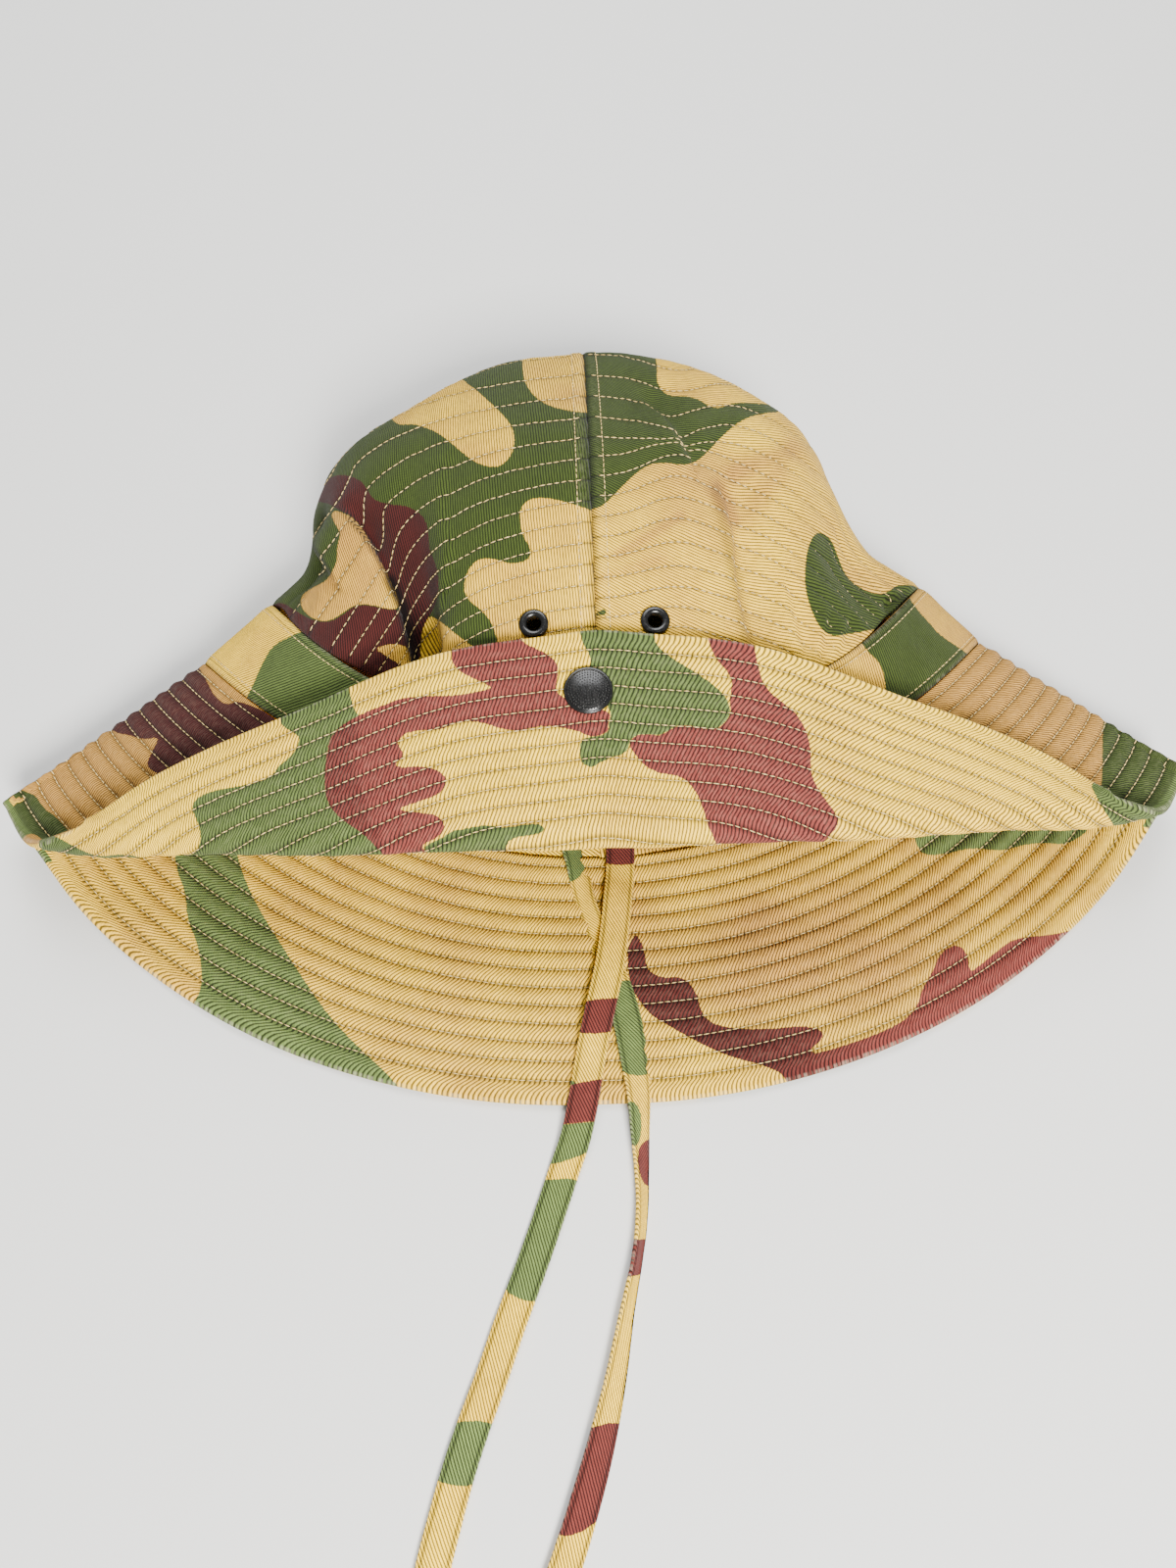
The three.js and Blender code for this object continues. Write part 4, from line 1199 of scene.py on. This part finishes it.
# Sharper folds, drawn as lines on the picture. A fold is deep on one side of its line and
# stands up on the other: right and left are in millimetres, and each reach is in pixels.
FOLD_COLUMNS = ("right", "left", "reach_right", "reach_left")
CROWN_FOLDS = [
    ([(345, 508), (360, 530), (376, 550), (388, 572), (400, 596), (410, 620), (418, 650),
      (424, 700)], (-11.0, 3.4, 20.0, 40.0)),
    ([(312, 545), (326, 566), (340, 588)], (1.8, -2.0, 18.0, 14.0)),
    ([(648, 405), (662, 412), (676, 422), (690, 438), (702, 466)], (-2.2, 1.0, 16.0, 30.0)),
    ([(722, 480), (738, 510), (747, 545), (750, 590), (756, 625), (770, 680)],
     (-1.6, 1.6, 30.0, 26.0)),
    ([(800, 590), (806, 615), (815, 650)], (-1.2, 1.2, 14.0, 14.0)),
    ([(846, 620), (842, 640), (838, 662)], (-1.0, 1.0, 9.0, 9.0)),
    ([(868, 626), (862, 645), (856, 664)], (-1.0, 1.0, 9.0, 9.0)),
    ([(470, 440), (455, 480), (452, 520), (462, 560), (455, 600)], (-0.8, 0.8, 26.0, 26.0)),
    ([(900, 612), (912, 612), (930, 606)], (1.2, -3.0, 9.0, 12.0)),
]


# In the tightest folds the cloth lies in its own shadow, which is painted on it as painted shade.
# Each crease is a line on the picture, how wide its shade spreads in pixels, and how dark it is.
CREASE_SHADES = [
    ([(398, 592), (411, 618), (418, 645), (423, 672), (427, 700)], 7.5, 2.0),
    ([(346, 520), (360, 535), (376, 555), (390, 580), (402, 605)], 3.0, 0.9),
    ([(639, 403), (660, 429), (684, 455), (698, 471)], 4.0, 0.5),
    ([(731, 500), (736, 525), (744, 560), (754, 609), (764, 665)], 9.0, 0.85),
    ([(908, 612), (922, 610)], 6.0, 1.2),
    ([(318, 556), (332, 576), (340, 590)], 2.2, 1.1),
    ([(790, 634), (781, 654), (776, 672)], 3.0, 0.45),
    ([(802, 652), (796, 668)], 3.0, 0.5),
    ([(814, 662), (810, 680)], 3.0, 0.5),
]

# Brown bands where sweat and dust have stained the tan cloth, drawn in the same way.
STAINS = [
    ([(750, 482), (776, 470), (806, 460)], 12.0, 0.34),
    ([(732, 500), (740, 515), (750, 530)], 9.0, 0.42),
    ([(630, 566), (660, 548), (694, 527)], 6.0, 0.30),
    ([(796, 474), (780, 500), (764, 524)], 12.0, 0.26),
    ([(612, 590), (640, 582), (672, 572)], 5.0, 0.18),
]


def near_lines(places, lines):
    """How strongly each place of the picture lies on one of the lines."""
    depth = np.zeros(places.shape[:-1])
    for line, wide, dark in lines:
        line = np.array(line, float)
        nearest = np.full(places.shape[:-1], np.inf)
        for p, q in zip(line, line[1:]):
            to = places - p
            t = np.clip((to @ (q - p)) / ((q - p) @ (q - p)), 0, 1)
            nearest = np.minimum(nearest, np.linalg.norm(to - t[..., None] * (q - p), axis=-1))
        depth = np.maximum(depth, dark * np.exp(-(nearest / wide) ** 2))
    return depth


def crown_dents(turn, rise):
    depth = np.zeros(np.broadcast(turn, rise).shape)
    for dent in (dict(zip(DENT_COLUMNS, row)) for row in CROWN_DENTS):
        across = (turn - dent["turn"]) / dent["wide"]
        along = (rise - dent["rise"]) / dent["long"]
        depth = depth + dent["depth"] * CROWN_HEIGHT * np.exp(-across**2 - along**2)
    return depth * (1 - ease(DENTS_FULL, DENTS_END, np.abs(turn) / 180))


def fold_height(places, line, right, left, reach_right, reach_left):
    """Height near a fold line of the picture: it steps across the line and fades away."""
    line = np.array(line, float)
    nearest = np.full(places.shape[:-1], np.inf)
    side = np.zeros(places.shape[:-1])
    end_fade = np.ones(places.shape[:-1])
    for n, (p, q) in enumerate(zip(line, line[1:])):
        edge = q - p
        to = places - p
        t = (to @ edge) / (edge @ edge)
        held = np.clip(t, 0, 1)
        gap = to - held[..., None] * edge
        far = np.linalg.norm(gap, axis=-1)
        closer = far < nearest
        nearest = np.where(closer, far, nearest)
        cross = edge[0] * to[..., 1] - edge[1] * to[..., 0]
        side = np.where(closer, -np.sign(cross), side)
        share = (n + held) / (len(line) - 1)
        end_fade = np.where(closer, ease(0, 0.25, share), end_fade)
    signed = nearest * side
    step = 0.5 + 0.5 * np.tanh(signed / 3.0)
    on_right = right * np.exp(-(nearest / reach_right) ** 2)
    on_left = left * np.exp(-(nearest / reach_left) ** 2)
    return (on_right * step + on_left * (1 - step)) * end_fade


# %% Shape both crown panels
PANEL_COLUMNS = 200
PANEL_ROWS = 150
CROWN_ROW_PITCH = 7.3
SEAM_STITCH = 4.2

# The rows cross the seam at even steps down the picture, then droop towards the sides.
SEAM_ACROSS = 604
FIRST_ROW_DOWN = {-1: 383, 1: 384}
ROW_STEP_DOWN = {-1: 21.4, 1: 20.6}
DROOP = 100
DROOP_REACH = ((340, 272), (396, 262), (418, 246), (442, 229), (460, 210), (485, 197),
               (529, 185), (640, 176))


def droop(side, across, down):
    """How far a row that starts at a place on the seam has sunk, in pixels of the picture."""
    if side < 0:
        reach = np.interp(down, *zip(*DROOP_REACH))
        t = across / reach
        curve = 0.12 * t + 0.88 * (1 - np.sqrt(np.maximum(1 - np.minimum(t, 1) ** 2, 0)))
        return DROOP * curve + 1.5 * np.maximum(across - reach, 0)
    hump = -20 * hill(across, 85, 45) * ease(440, 480, down) * (1 - 0.4 * ease(540, 600, down))
    sag = 16 * hill(across, 90, 40) * (1 - ease(430, 465, down))
    return hump + sag + 120 * np.clip((across - 100) / 190, 0, None) ** 2


def row_number(side, seen):
    """The number of the sewn row at each place of the picture, with parts between rows."""
    across = np.maximum(side * (seen[..., 0] - SEAM_ACROSS), 0)
    start = seen[..., 1].copy()
    for _ in range(14):
        start = 0.5 * start + 0.5 * (seen[..., 1] - droop(side, across, start))
    return (start - FIRST_ROW_DOWN[side]) / ROW_STEP_DOWN[side]


# The rows are charted on the picture where they show. Over the top they go on at even steps of
# cloth, and behind they mirror the front.
ROWS_SHOWN_TO = 90


def facing_camera(places, out):
    """1 where the cloth faces the camera, 0 where it is seen edge on, less where it is hidden."""
    way = np.array(CAMERA_PLACE) / MM - places
    return np.sum(out * way, axis=-1) / np.linalg.norm(way, axis=-1)


def rows_of_panel(side, places, out, up):
    """The number of the sewn row at every corner of a panel, with parts between rows."""
    rows = row_number(side, seen_at(places * MM))
    facing = facing_camera(places, out)
    half = len(places) // 2
    last = int(ROWS_SHOWN_TO / 180 * (len(places) - 1))
    for column in range(last + 1):
        hidden = np.nonzero(facing[column] < 0.10)[0]
        hidden = hidden[hidden > 0.6 * places.shape[1]]
        if len(hidden):
            edge = hidden[0]
            beyond = up[column, edge:] - up[column, edge]
            rows[column, edge:] = rows[column, edge] - beyond / CROWN_ROW_PITCH
    rows = np.minimum.accumulate(rows, axis=1)
    rows[half + 1:] = rows[:half][::-1]
    return soften(rows[..., None], 3, ring=False)[..., 0]


EYELET_SPACING = 35.0
EYELET_RISE = 25.0
EYELET_HOLE = 3.2


def crown_place(across, along):
    """Turn and rise of a point of the crown's front, by its distance from both seams."""
    rise = along / CROWN_LENGTH
    name = "left" if across < 0 else "right"
    half = float(read(CROWN_SECTIONS, CROWN_COLUMNS, rise, name)) * CROWN_HALF_WIDTH
    sine = (abs(across) / half) ** (1 / CROWN_ROUNDING)
    return math.copysign(math.degrees(math.asin(sine)), across), rise


def cloth_lengths(surface):
    """Distances over the cloth: round from the centre seam, and up from the band."""
    around = np.linalg.norm(np.diff(surface, axis=0), axis=-1)
    around = np.concatenate([np.zeros((1, surface.shape[1])), np.cumsum(around, axis=0)])
    up = np.linalg.norm(np.diff(surface, axis=1), axis=-1)
    up = np.concatenate([np.zeros((surface.shape[0], 1)), np.cumsum(up, axis=1)], axis=1)
    return around, up


def crown_surface(side):
    """Points, outward ways and sewing places of one panel."""
    turn = side * np.linspace(0, 180, PANEL_COLUMNS + 1)[:, None]
    rise = np.linspace(0.0012, 1, PANEL_ROWS + 1)[None, :]
    base = skin(turn, 1 + rise) + SHIFT
    inward = np.stack([-np.sin(np.radians(turn)), np.zeros_like(turn), -np.cos(np.radians(turn))],
                      axis=-1)
    base = base + inward * crown_dents(turn, rise)[..., None]
    base = soften(base, 2, ring=False)
    base[..., 0] = side * np.maximum(0.04, side * base[..., 0] + 0.04)
    out = directions(base, ring=False) * side
    out[0, :, 0] = 0
    out[-1, :, 0] = 0
    out /= np.maximum(np.linalg.norm(out, axis=-1, keepdims=True), 1e-9)
    out[:, -1] = (0, 1, 0)

    seen = seen_at(base * MM)
    front = ease(0.05, 0.35, np.cos(np.radians(turn)))
    folds = sum(fold_height(seen, line, **dict(zip(FOLD_COLUMNS, how)))
                for line, how in CROWN_FOLDS)
    row_place = rows_of_panel(side, base, out, cloth_lengths(base)[1])
    puff = channel(row_place)
    near_row = 1 - puff
    across = side * base[..., 0]
    lying = 1 - ease(0.0, 2.5, base[..., 2])
    strip = ease(0.0, 0.8, across) * (1 - ease(3.6, 4.6, across)) * (1 if side < 0 else 0.5)
    pucker = rough(base[..., 0] / 5.0, np.floor(row_place) * 2.3 + base[..., 1] / 14.0, side * 4.0)
    seam_pucker = rough(base[..., 1] / 2.6, across / 6.0, side * 6.0) * hill(across, 2.5, 4.0)
    slack = rough(base[..., 0] / 22.0, base[..., 1] / 30.0, side * 8.0)
    gather = np.sin(np.radians(turn) * 46) * hill(np.abs(turn), 60, 18) * hill(rise, 0.0, 0.12)
    height = (0.42 * puff + pucker * (0.2 + 0.2 * near_row) + 0.4 * strip + 0.3 * seam_pucker
              + 0.7 * slack + 0.45 * gather + folds * front)
    height = height - 0.25 * hill(across, 0, 0.6)
    height = height * (1 - lying)
    height = height * ease(0, 0.02, rise) * ease(1.0, 0.985, rise)
    surface = base + out * height[..., None]
    surface[..., 2] = np.maximum(surface[..., 2], 0.0)
    surface[..., 0] = side * np.maximum(0.03, side * surface[..., 0])
    return turn, base, out, surface, row_place, across, strip


def crown_panel(name, side, node, prints, base_colour, rib_angle):
    turn, base, out, surface, row_place, across, strip = crown_surface(side)
    around, up = cloth_lengths(base)
    seen = seen_at(surface * MM)
    shown = (ease(-0.05, 0.08, np.cos(np.radians(turn)))
             * ease(-0.12, 0.03, facing_camera(base, out)))
    green, red = (shown * there + (1 - shown) * blot for there, blot in
                  zip(printed(seen, prints, base_colour), blots(side * around, up, 30.0 + side)))
    seam = hill(across, 0, 0.5) + 0.4 * hill(across, SEAM_STITCH, 0.35)
    # Painted shade along the tightest creases darkens the cloth there.
    seam = seam + near_lines(seen, CREASE_SHADES) * shown
    # The left panel is darker and browner to the left of the pinch.
    soil = 0.36 + 0.25 * (1 - ease(380, 430, seen[..., 0]))
    if side > 0:
        soil = 0.40 + near_lines(seen, STAINS) * shown
    loose = ease(45, 70, across) if side > 0 else 0 * across
    mesh = cloth_mesh(name, surface, ribs(side * around, up, rib_angle), green=green, red=red,
                      groove=np.clip(seam, 0, 2.0), wear=0.1 * strip, soil=soil, fade=0.04,
                      row=row_place, faint=loose)

    bm = bmesh.new()
    bm.from_mesh(mesh)
    eye_turn, eye_rise = crown_place(side * EYELET_SPACING / 2, EYELET_RISE)
    column = int(round(abs(eye_turn) / 180 * PANEL_COLUMNS))
    row = int(round(eye_rise * PANEL_ROWS))
    eye = Vector(surface[column, row] * MM)
    hole = [f for f in bm.faces if (f.calc_center_median() - eye).length < EYELET_HOLE * MM]
    bmesh.ops.delete(bm, geom=hole, context="FACES")
    bmesh.ops.remove_doubles(bm, verts=bm.verts, dist=0.02 * MM)
    bmesh.ops.recalc_face_normals(bm, faces=bm.faces)
    high = max(bm.faces, key=lambda f: f.calc_center_median().z)
    if high.normal.z < 0:
        bmesh.ops.reverse_faces(bm, faces=bm.faces)
    bm.to_mesh(mesh)
    bm.free()
    wall = piece(smooth(mesh), cloth_material, node).modifiers.new("wall", "SOLIDIFY")
    wall.thickness = CROWN_WALL * MM
    wall.offset = -1
    sewing = {"surface": surface, "out": out, "row_place": row_place, "across": across,
              "loose": loose}
    return sewing, (surface[column, row], out[column, row])


left_sewing, left_eye = crown_panel(
    "twill_crown_left", -1, "crown_left", CROWN_LEFT_PRINT, "green", 86)
right_sewing, right_eye = crown_panel(
    "twill_crown_right", 1, "crown_right", CROWN_RIGHT_PRINT, "tan", 33)
print("eyelets at", [round(float(v), 1) for v in left_eye[0]],
      [round(float(v), 1) for v in right_eye[0]])


# %% Sew the crown
ROW_NUMBERS = range(-14, 24)
SHORTEST_RUN = 12
SUNK = 0.22
OFF_TABLE = 0.4


def chained(row_place, number):
    """Runs of grid edges that a row crosses, from one cell of the grid to the next."""
    above = row_place > number
    level = above[:-1] != above[1:]
    upright = above[:, :-1] != above[:, 1:]
    crossed = level[:, :-1] | level[:, 1:] | upright[:-1] | upright[1:]
    beside = {}
    for i, j in zip(*np.nonzero(crossed)):
        sides = ((0, i, j), (1, i + 1, j), (0, i, j + 1), (1, i, j))
        cut = [(level, upright)[side[0]][side[1], side[2]] for side in sides]
        met = [side for side, yes in zip(sides, cut) if yes]
        for one, other in zip(met[::2], met[1::2]):
            beside.setdefault(one, []).append(other)
            beside.setdefault(other, []).append(one)
    ends = [key for key in beside if len(beside[key]) == 1]
    runs, used = [], set()
    for key in ends + list(beside):
        run = []
        while key is not None and key not in used:
            used.add(key)
            run.append(key)
            key = next((other for other in beside[key] if other not in used), None)
        if len(run) > SHORTEST_RUN:
            runs.append(run)
    return runs


def crown_rows(sewing):
    """The lines of stitches of a panel: each sewn row, as far as it lies clear of the table."""
    surface, out, row_place = sewing["surface"], sewing["out"], sewing["row_place"]
    loose, lines = sewing["loose"], []
    for number in ROW_NUMBERS:
        for run in chained(row_place[1:-1, 2:-3], number):
            places, outs = [], []
            for axis, i, j in run:
                here, there = (i + 1, j + 2), (i + 2 - axis, j + 2 + axis)
                a, b = row_place[here], row_place[there]
                share = (a - number) / (a - b)
                places.append(surface[here] * (1 - share) + surface[there] * share
                              - SUNK * loose[here] * out[here])
                outs.append(out[here] * (1 - share) + out[there] * share)
            places, outs = np.array(places), np.array(outs)
            clear = places[:, 2] > OFF_TABLE
            if clear.sum() > SHORTEST_RUN:
                lines.append((places[clear], outs[clear]))
    return lines


def seam_line(sewing, distance):
    """A line of stitching beside the centre seam, over the front and top."""
    surface, out, across = sewing["surface"], sewing["out"], sewing["across"]
    points, outs = [], []
    for row in range(0, surface.shape[1] - 6):
        away = across[: surface.shape[0] // 2, row]
        if away.max() > distance:
            k = int(np.argmax(away > distance))
            share = (distance - away[k - 1]) / max(away[k] - away[k - 1], 1e-6)
            points.append(surface[k - 1, row] * (1 - share) + surface[k, row] * share)
            outs.append(out[k, row])
    return np.array(points), np.array(outs)


crown_lines = crown_rows(left_sewing) + crown_rows(right_sewing)
crown_lines += [seam_line(sewing, SEAM_STITCH) for sewing in (left_sewing, right_sewing)]
sew("crown_thread", crown_lines)

# %% [markdown]
# ## The ties
#
# A tie is a strip of twill folded into four and stitched, flat and limp. The left one twists
# where it passes under the right one and again further down, so there its edge shows. A strip
# like this is modelled directly: a flat closed section, turned and narrowed by a short table,
# follows the middle line.

# %% Weave the ties
TIE_COLUMNS = ("at", "twist", "wide")
LEFT_TIE_TWISTS = np.array([
    (0.00, 0, 1.00),
    (0.10, 35, 0.85),
    (0.16, -20, 0.70),
    (0.26, 0, 0.90),
    (0.36, 18, 1.00),
    (0.48, 40, 0.75),
    (0.55, 55, 0.60),
    (0.64, 60, 0.58),
    (0.74, 40, 0.72),
    (0.86, 18, 0.90),
    (1.00, 10, 0.95),
])
RIGHT_TIE_TWISTS = np.array([
    (0.00, 0, 1.00),
    (0.30, 4, 1.00),
    (0.60, -6, 0.98),
    (1.00, 5, 1.00),
])
TIE_SECTION = 20
TIE_THICK = 1.5
TIE_SLANT = 38
TIE_STITCH = 3.4


def tie_strip(name, line, twists, node, prints):
    steps = len(line) - 1
    points = line / MM
    way = np.gradient(points, axis=0)
    way /= np.linalg.norm(way, axis=1, keepdims=True)
    side = np.cross(way, np.array([0, 0, 1.0]))
    side /= np.linalg.norm(side, axis=1, keepdims=True)
    up = np.cross(side, way)
    at = np.linspace(0, 1, steps + 1)
    twist = np.radians(read(twists, TIE_COLUMNS, at, "twist"))[:, None]
    wide = read(twists, TIE_COLUMNS, at, "wide")[:, None]
    across = side * np.cos(twist) + up * np.sin(twist)
    over = up * np.cos(twist) - side * np.sin(twist)
    angle = np.linspace(0, 2 * np.pi, TIE_SECTION + 1)
    flat_x = np.sign(np.cos(angle)) * np.abs(np.cos(angle)) ** 0.35 * (TIE_WIDTH / MM / 2)
    flat_y = np.sign(np.sin(angle)) * np.abs(np.sin(angle)) ** 0.55 * (TIE_THICK / 2)
    ripple = rough(at * length_of(line) / MM / 7.0, 0.0, len(name))[:, None]
    body = (points[:, None] + across[:, None] * (flat_x * wide)[..., None]
            + over[:, None] * (flat_y * (1.15 - 0.15 * wide) + 0.12 * ripple)[..., None])
    body[..., 2] = np.maximum(body[..., 2], 0.05)
    ends = [points[:1, None] + 0 * body[:1], body, points[-1:, None] + 0 * body[-1:]]
    body = np.concatenate(ends)

    far = np.r_[0, at, 1] * length_of(line) / MM
    u = far[:, None] * np.ones(TIE_SECTION + 1)
    v = np.ones(body.shape[0])[:, None] * flat_x
    green, red = printed(seen_at(body * MM), prints)
    mesh = cloth_mesh(
        name, body, ribs(u, v, TIE_SLANT), green=green, red=red,
        groove=0.25 * hill(np.abs(v), 3.3, 0.4), wear=0.4 * (np.abs(v) > 4.3),
        soil=0.1, fade=np.where(green > red, 1.0, 0.65), row=1 + (np.abs(v) - TIE_STITCH) / 8)
    obj = piece(finish_mesh(mesh, 0.01 * MM), cloth_material, node)


tie_strip("twill_tie_left", left_tie_line, LEFT_TIE_TWISTS, "tie_left", LEFT_TIE_PRINT)
tie_strip("twill_tie_right", right_tie_line, RIGHT_TIE_TWISTS, "tie_right", RIGHT_TIE_PRINT)

# %% [markdown]
# ## Snap and eyelets
#
# The cap of the snap is a shallow dome of black lacquered metal, stamped with rings of small
# dots inside a smooth rim. The eyelets are rolled rings of the same metal round open holes.
# Both are turned shapes, so each is a short profile that a spin carries round once.

# %% Black lacquer
def lacquer(name, dark=(0.004, 0.004, 0.004, 1), dull=0.22):
    r = Recipe(name)
    place = r.node("ShaderNodeTexCoord").outputs["Object"]
    dust = r.speckle(place, 900.0, 3.0)
    colour = r.mix(r.ramp(dust, 0.5, 0.8), dark, (0.014, 0.013, 0.012, 1))
    r.feed(r.shader.inputs["Base Color"], colour)
    r.feed(r.shader.inputs["Roughness"], r.ramp(dust, 0.3, 0.8, dull, dull + 0.15))
    r.shader.inputs["Metallic"].default_value = 0.0
    r.shader.inputs["Specular IOR Level"].default_value = 0.42
    bump = r.node("ShaderNodeBump", Strength=0.15, Distance=0.05 * MM, Height=dust)
    r.feed(r.shader.inputs["Normal"], bump.outputs[0])
    return r.material


black = lacquer("black lacquer")
# The dots' lacquer is a little lighter than the dome's, as painted highlight, and glossier.
highlit_black = lacquer("highlit black lacquer", (0.014, 0.0135, 0.013, 1), 0.16)


def upright(bm, place, out):
    """Stands a shape that was made about Z on the cloth."""
    turn = Vector((0, 0, 1)).rotation_difference(Vector(out)).to_matrix()
    bmesh.ops.rotate(bm, verts=bm.verts, cent=(0, 0, 0), matrix=turn)
    bmesh.ops.translate(bm, verts=bm.verts, vec=Vector(place) * MM)


def turned(profile, steps=64):
    """Spins a profile of radius and height, in millimetres, into a closed shape."""
    bm = bmesh.new()
    corners = [bm.verts.new((r * MM, 0, z * MM)) for r, z in profile]
    edges = [bm.edges.new(pair) for pair in zip(corners, corners[1:])]
    bmesh.ops.spin(bm, geom=corners + edges, cent=(0, 0, 0), axis=(0, 0, 1),
                   angle=2 * math.pi, steps=steps, use_merge=True)
    bmesh.ops.remove_doubles(bm, verts=bm.verts, dist=0.004 * MM)
    bmesh.ops.dissolve_degenerate(bm, edges=bm.edges, dist=0.001 * MM)
    bmesh.ops.recalc_face_normals(bm, faces=bm.faces)
    return bm


# %% The snap's cap with its rings of dots
SNAP_CAP = 14.0
SNAP_CAP_HEIGHT = 2.2
SNAP_FROM_EDGE = 18.0
SNAP_TURN = -0.9
DOT_RINGS = 8
DOT_PITCH = 0.78
DOT_RADIUS = 0.27


def cap_height(r):
    """Height of the dome at a radius."""
    return 0.9 + (SNAP_CAP_HEIGHT - 0.9) * (1 - (r / (SNAP_CAP / 2)) ** 2)


cap_column = int(np.argmin(np.abs(brim_turn[:, 0] - SNAP_TURN)))
cap_row = int(round((1 - SNAP_FROM_EDGE / BRIM_WIDTH) * BRIM_ROWS))
cap_out = -brim_out[cap_column, cap_row]
cap_place = brim_skin[cap_column, cap_row] + cap_out * (BRIM_WALL + 0.35)

rim = SNAP_CAP / 2
profile = [(0, 0), (rim - 0.5, 0), (rim - 0.1, 0.15), (rim, 0.5), (rim - 0.15, 0.85),
           (rim - 0.5, 1.0), (rim - 0.75, 0.92)]
profile += [(r, cap_height(r)) for r in np.linspace(rim - 0.85, 0, 14)]
cap_bm = turned(profile, 96)
upright(cap_bm, cap_place, cap_out)
piece(mesh_from("snap_dome", cap_bm), black, "snap_cap")

dot_bm = bmesh.new()
bmesh.ops.create_icosphere(dot_bm, subdivisions=1, radius=DOT_RADIUS)
dot_corners, dot_faces = small_shape(dot_bm)
centres = []
for ring in range(DOT_RINGS):
    r = 0.3 + ring * DOT_PITCH
    count = max(int(round(2 * math.pi * r / DOT_PITCH)), 4)
    for n in range(count):
        a = 2 * math.pi * (n + 0.5 * (ring % 2)) / count
        centres.append((r * math.cos(a), r * math.sin(a), cap_height(r) + 0.02))
centres = np.array(centres)
turn_matrix = np.array(Vector((0, 0, 1)).rotation_difference(Vector(cap_out)).to_matrix())
dots = (centres[:, None] + dot_corners) @ turn_matrix.T + cap_place
snap_dots = piece(joined_copies("snap_dots", dots * MM, dot_faces), highlit_black)
print("dots on the snap:", len(centres))

# %% The eyelets
EYELET_OUTER = 8.6
EYELET_BORE = 4.6


def eyelet(name, place, out, node):
    outer, bore = EYELET_OUTER / 2 + 0.1, EYELET_BORE / 2 - 0.2
    middle, half = (outer + bore) / 2, (outer - bore) / 2
    roll = [(middle + half * math.cos(a), 0.15 + 0.85 * math.sin(a))
            for a in np.linspace(0, math.pi, 13)]
    profile = roll + [(bore + 0.1, -1.2), (bore + 0.3, -2.4), (bore + 0.6, -2.4),
                      (bore + 0.5, -0.4), (outer - 0.2, -0.2), roll[0]]
    bm = turned(profile, 56)
    upright(bm, place, out)
    piece(mesh_from(name, bm), black, node)


eyelet("eyelet_ring_left", *left_eye, "eyelet_left")
eyelet("eyelet_ring_right", *right_eye, "eyelet_right")
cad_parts["snap_stud"].data.materials.clear()
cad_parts["snap_stud"].data.materials.append(black)

# %% [markdown]
# ## Table and light
#
# The hat lies on a plain pale table. The main lamp stands in front and a little to the right,
# as a window would, so each sewn channel is bright towards the viewer and throws a small shadow
# beyond its crest. A weaker lamp behind and the pale room keep the hollows readable.

# %% Table and lamps
TABLE_HALF = 15
WINDOW_POWER = 50.0
BACK_POWER = 24.0
ROOM_LIGHT = 0.38

table_bm = bmesh.new()
bmesh.ops.create_grid(table_bm, x_segments=1, y_segments=1, size=TABLE_HALF)
mesh = bpy.data.meshes.new("table")
table_bm.to_mesh(mesh)
table_bm.free()
table = bpy.data.objects.new("table", mesh)
bpy.context.scene.collection.objects.link(table)
table_recipe = Recipe("pale table")
table_recipe.shader.inputs["Base Color"].default_value = (0.62, 0.62, 0.60, 1)
table_recipe.shader.inputs["Roughness"].default_value = 0.8
mesh.materials.append(table_recipe.material)


def lamp(name, place, size, power, colour):
    data = bpy.data.lights.new(name, "AREA")
    data.size = size
    data.energy = power
    data.color = colour
    obj = bpy.data.objects.new(name, data)
    obj.location = place
    obj.rotation_euler = (-Vector(place)).to_track_quat("-Z", "Y").to_euler()
    bpy.context.scene.collection.objects.link(obj)


lamp("window", (0.22, -0.95, 0.80), 0.40, WINDOW_POWER, (1.0, 0.98, 0.95))
lamp("back light", (0.0, 0.7, 1.0), 0.8, BACK_POWER, (0.97, 0.98, 1.0))
world = bpy.data.worlds.new("room")
world.use_nodes = True
world.node_tree.nodes["Background"].inputs[0].default_value = (1, 1, 1, 1)
world.node_tree.nodes["Background"].inputs[1].default_value = ROOM_LIGHT
bpy.context.scene.world = world

# %% [markdown]
# ## Finish
#
# The cloth may stand a little proud of the solids, but not much.

# %% Finish
bpy.context.view_layer.update()
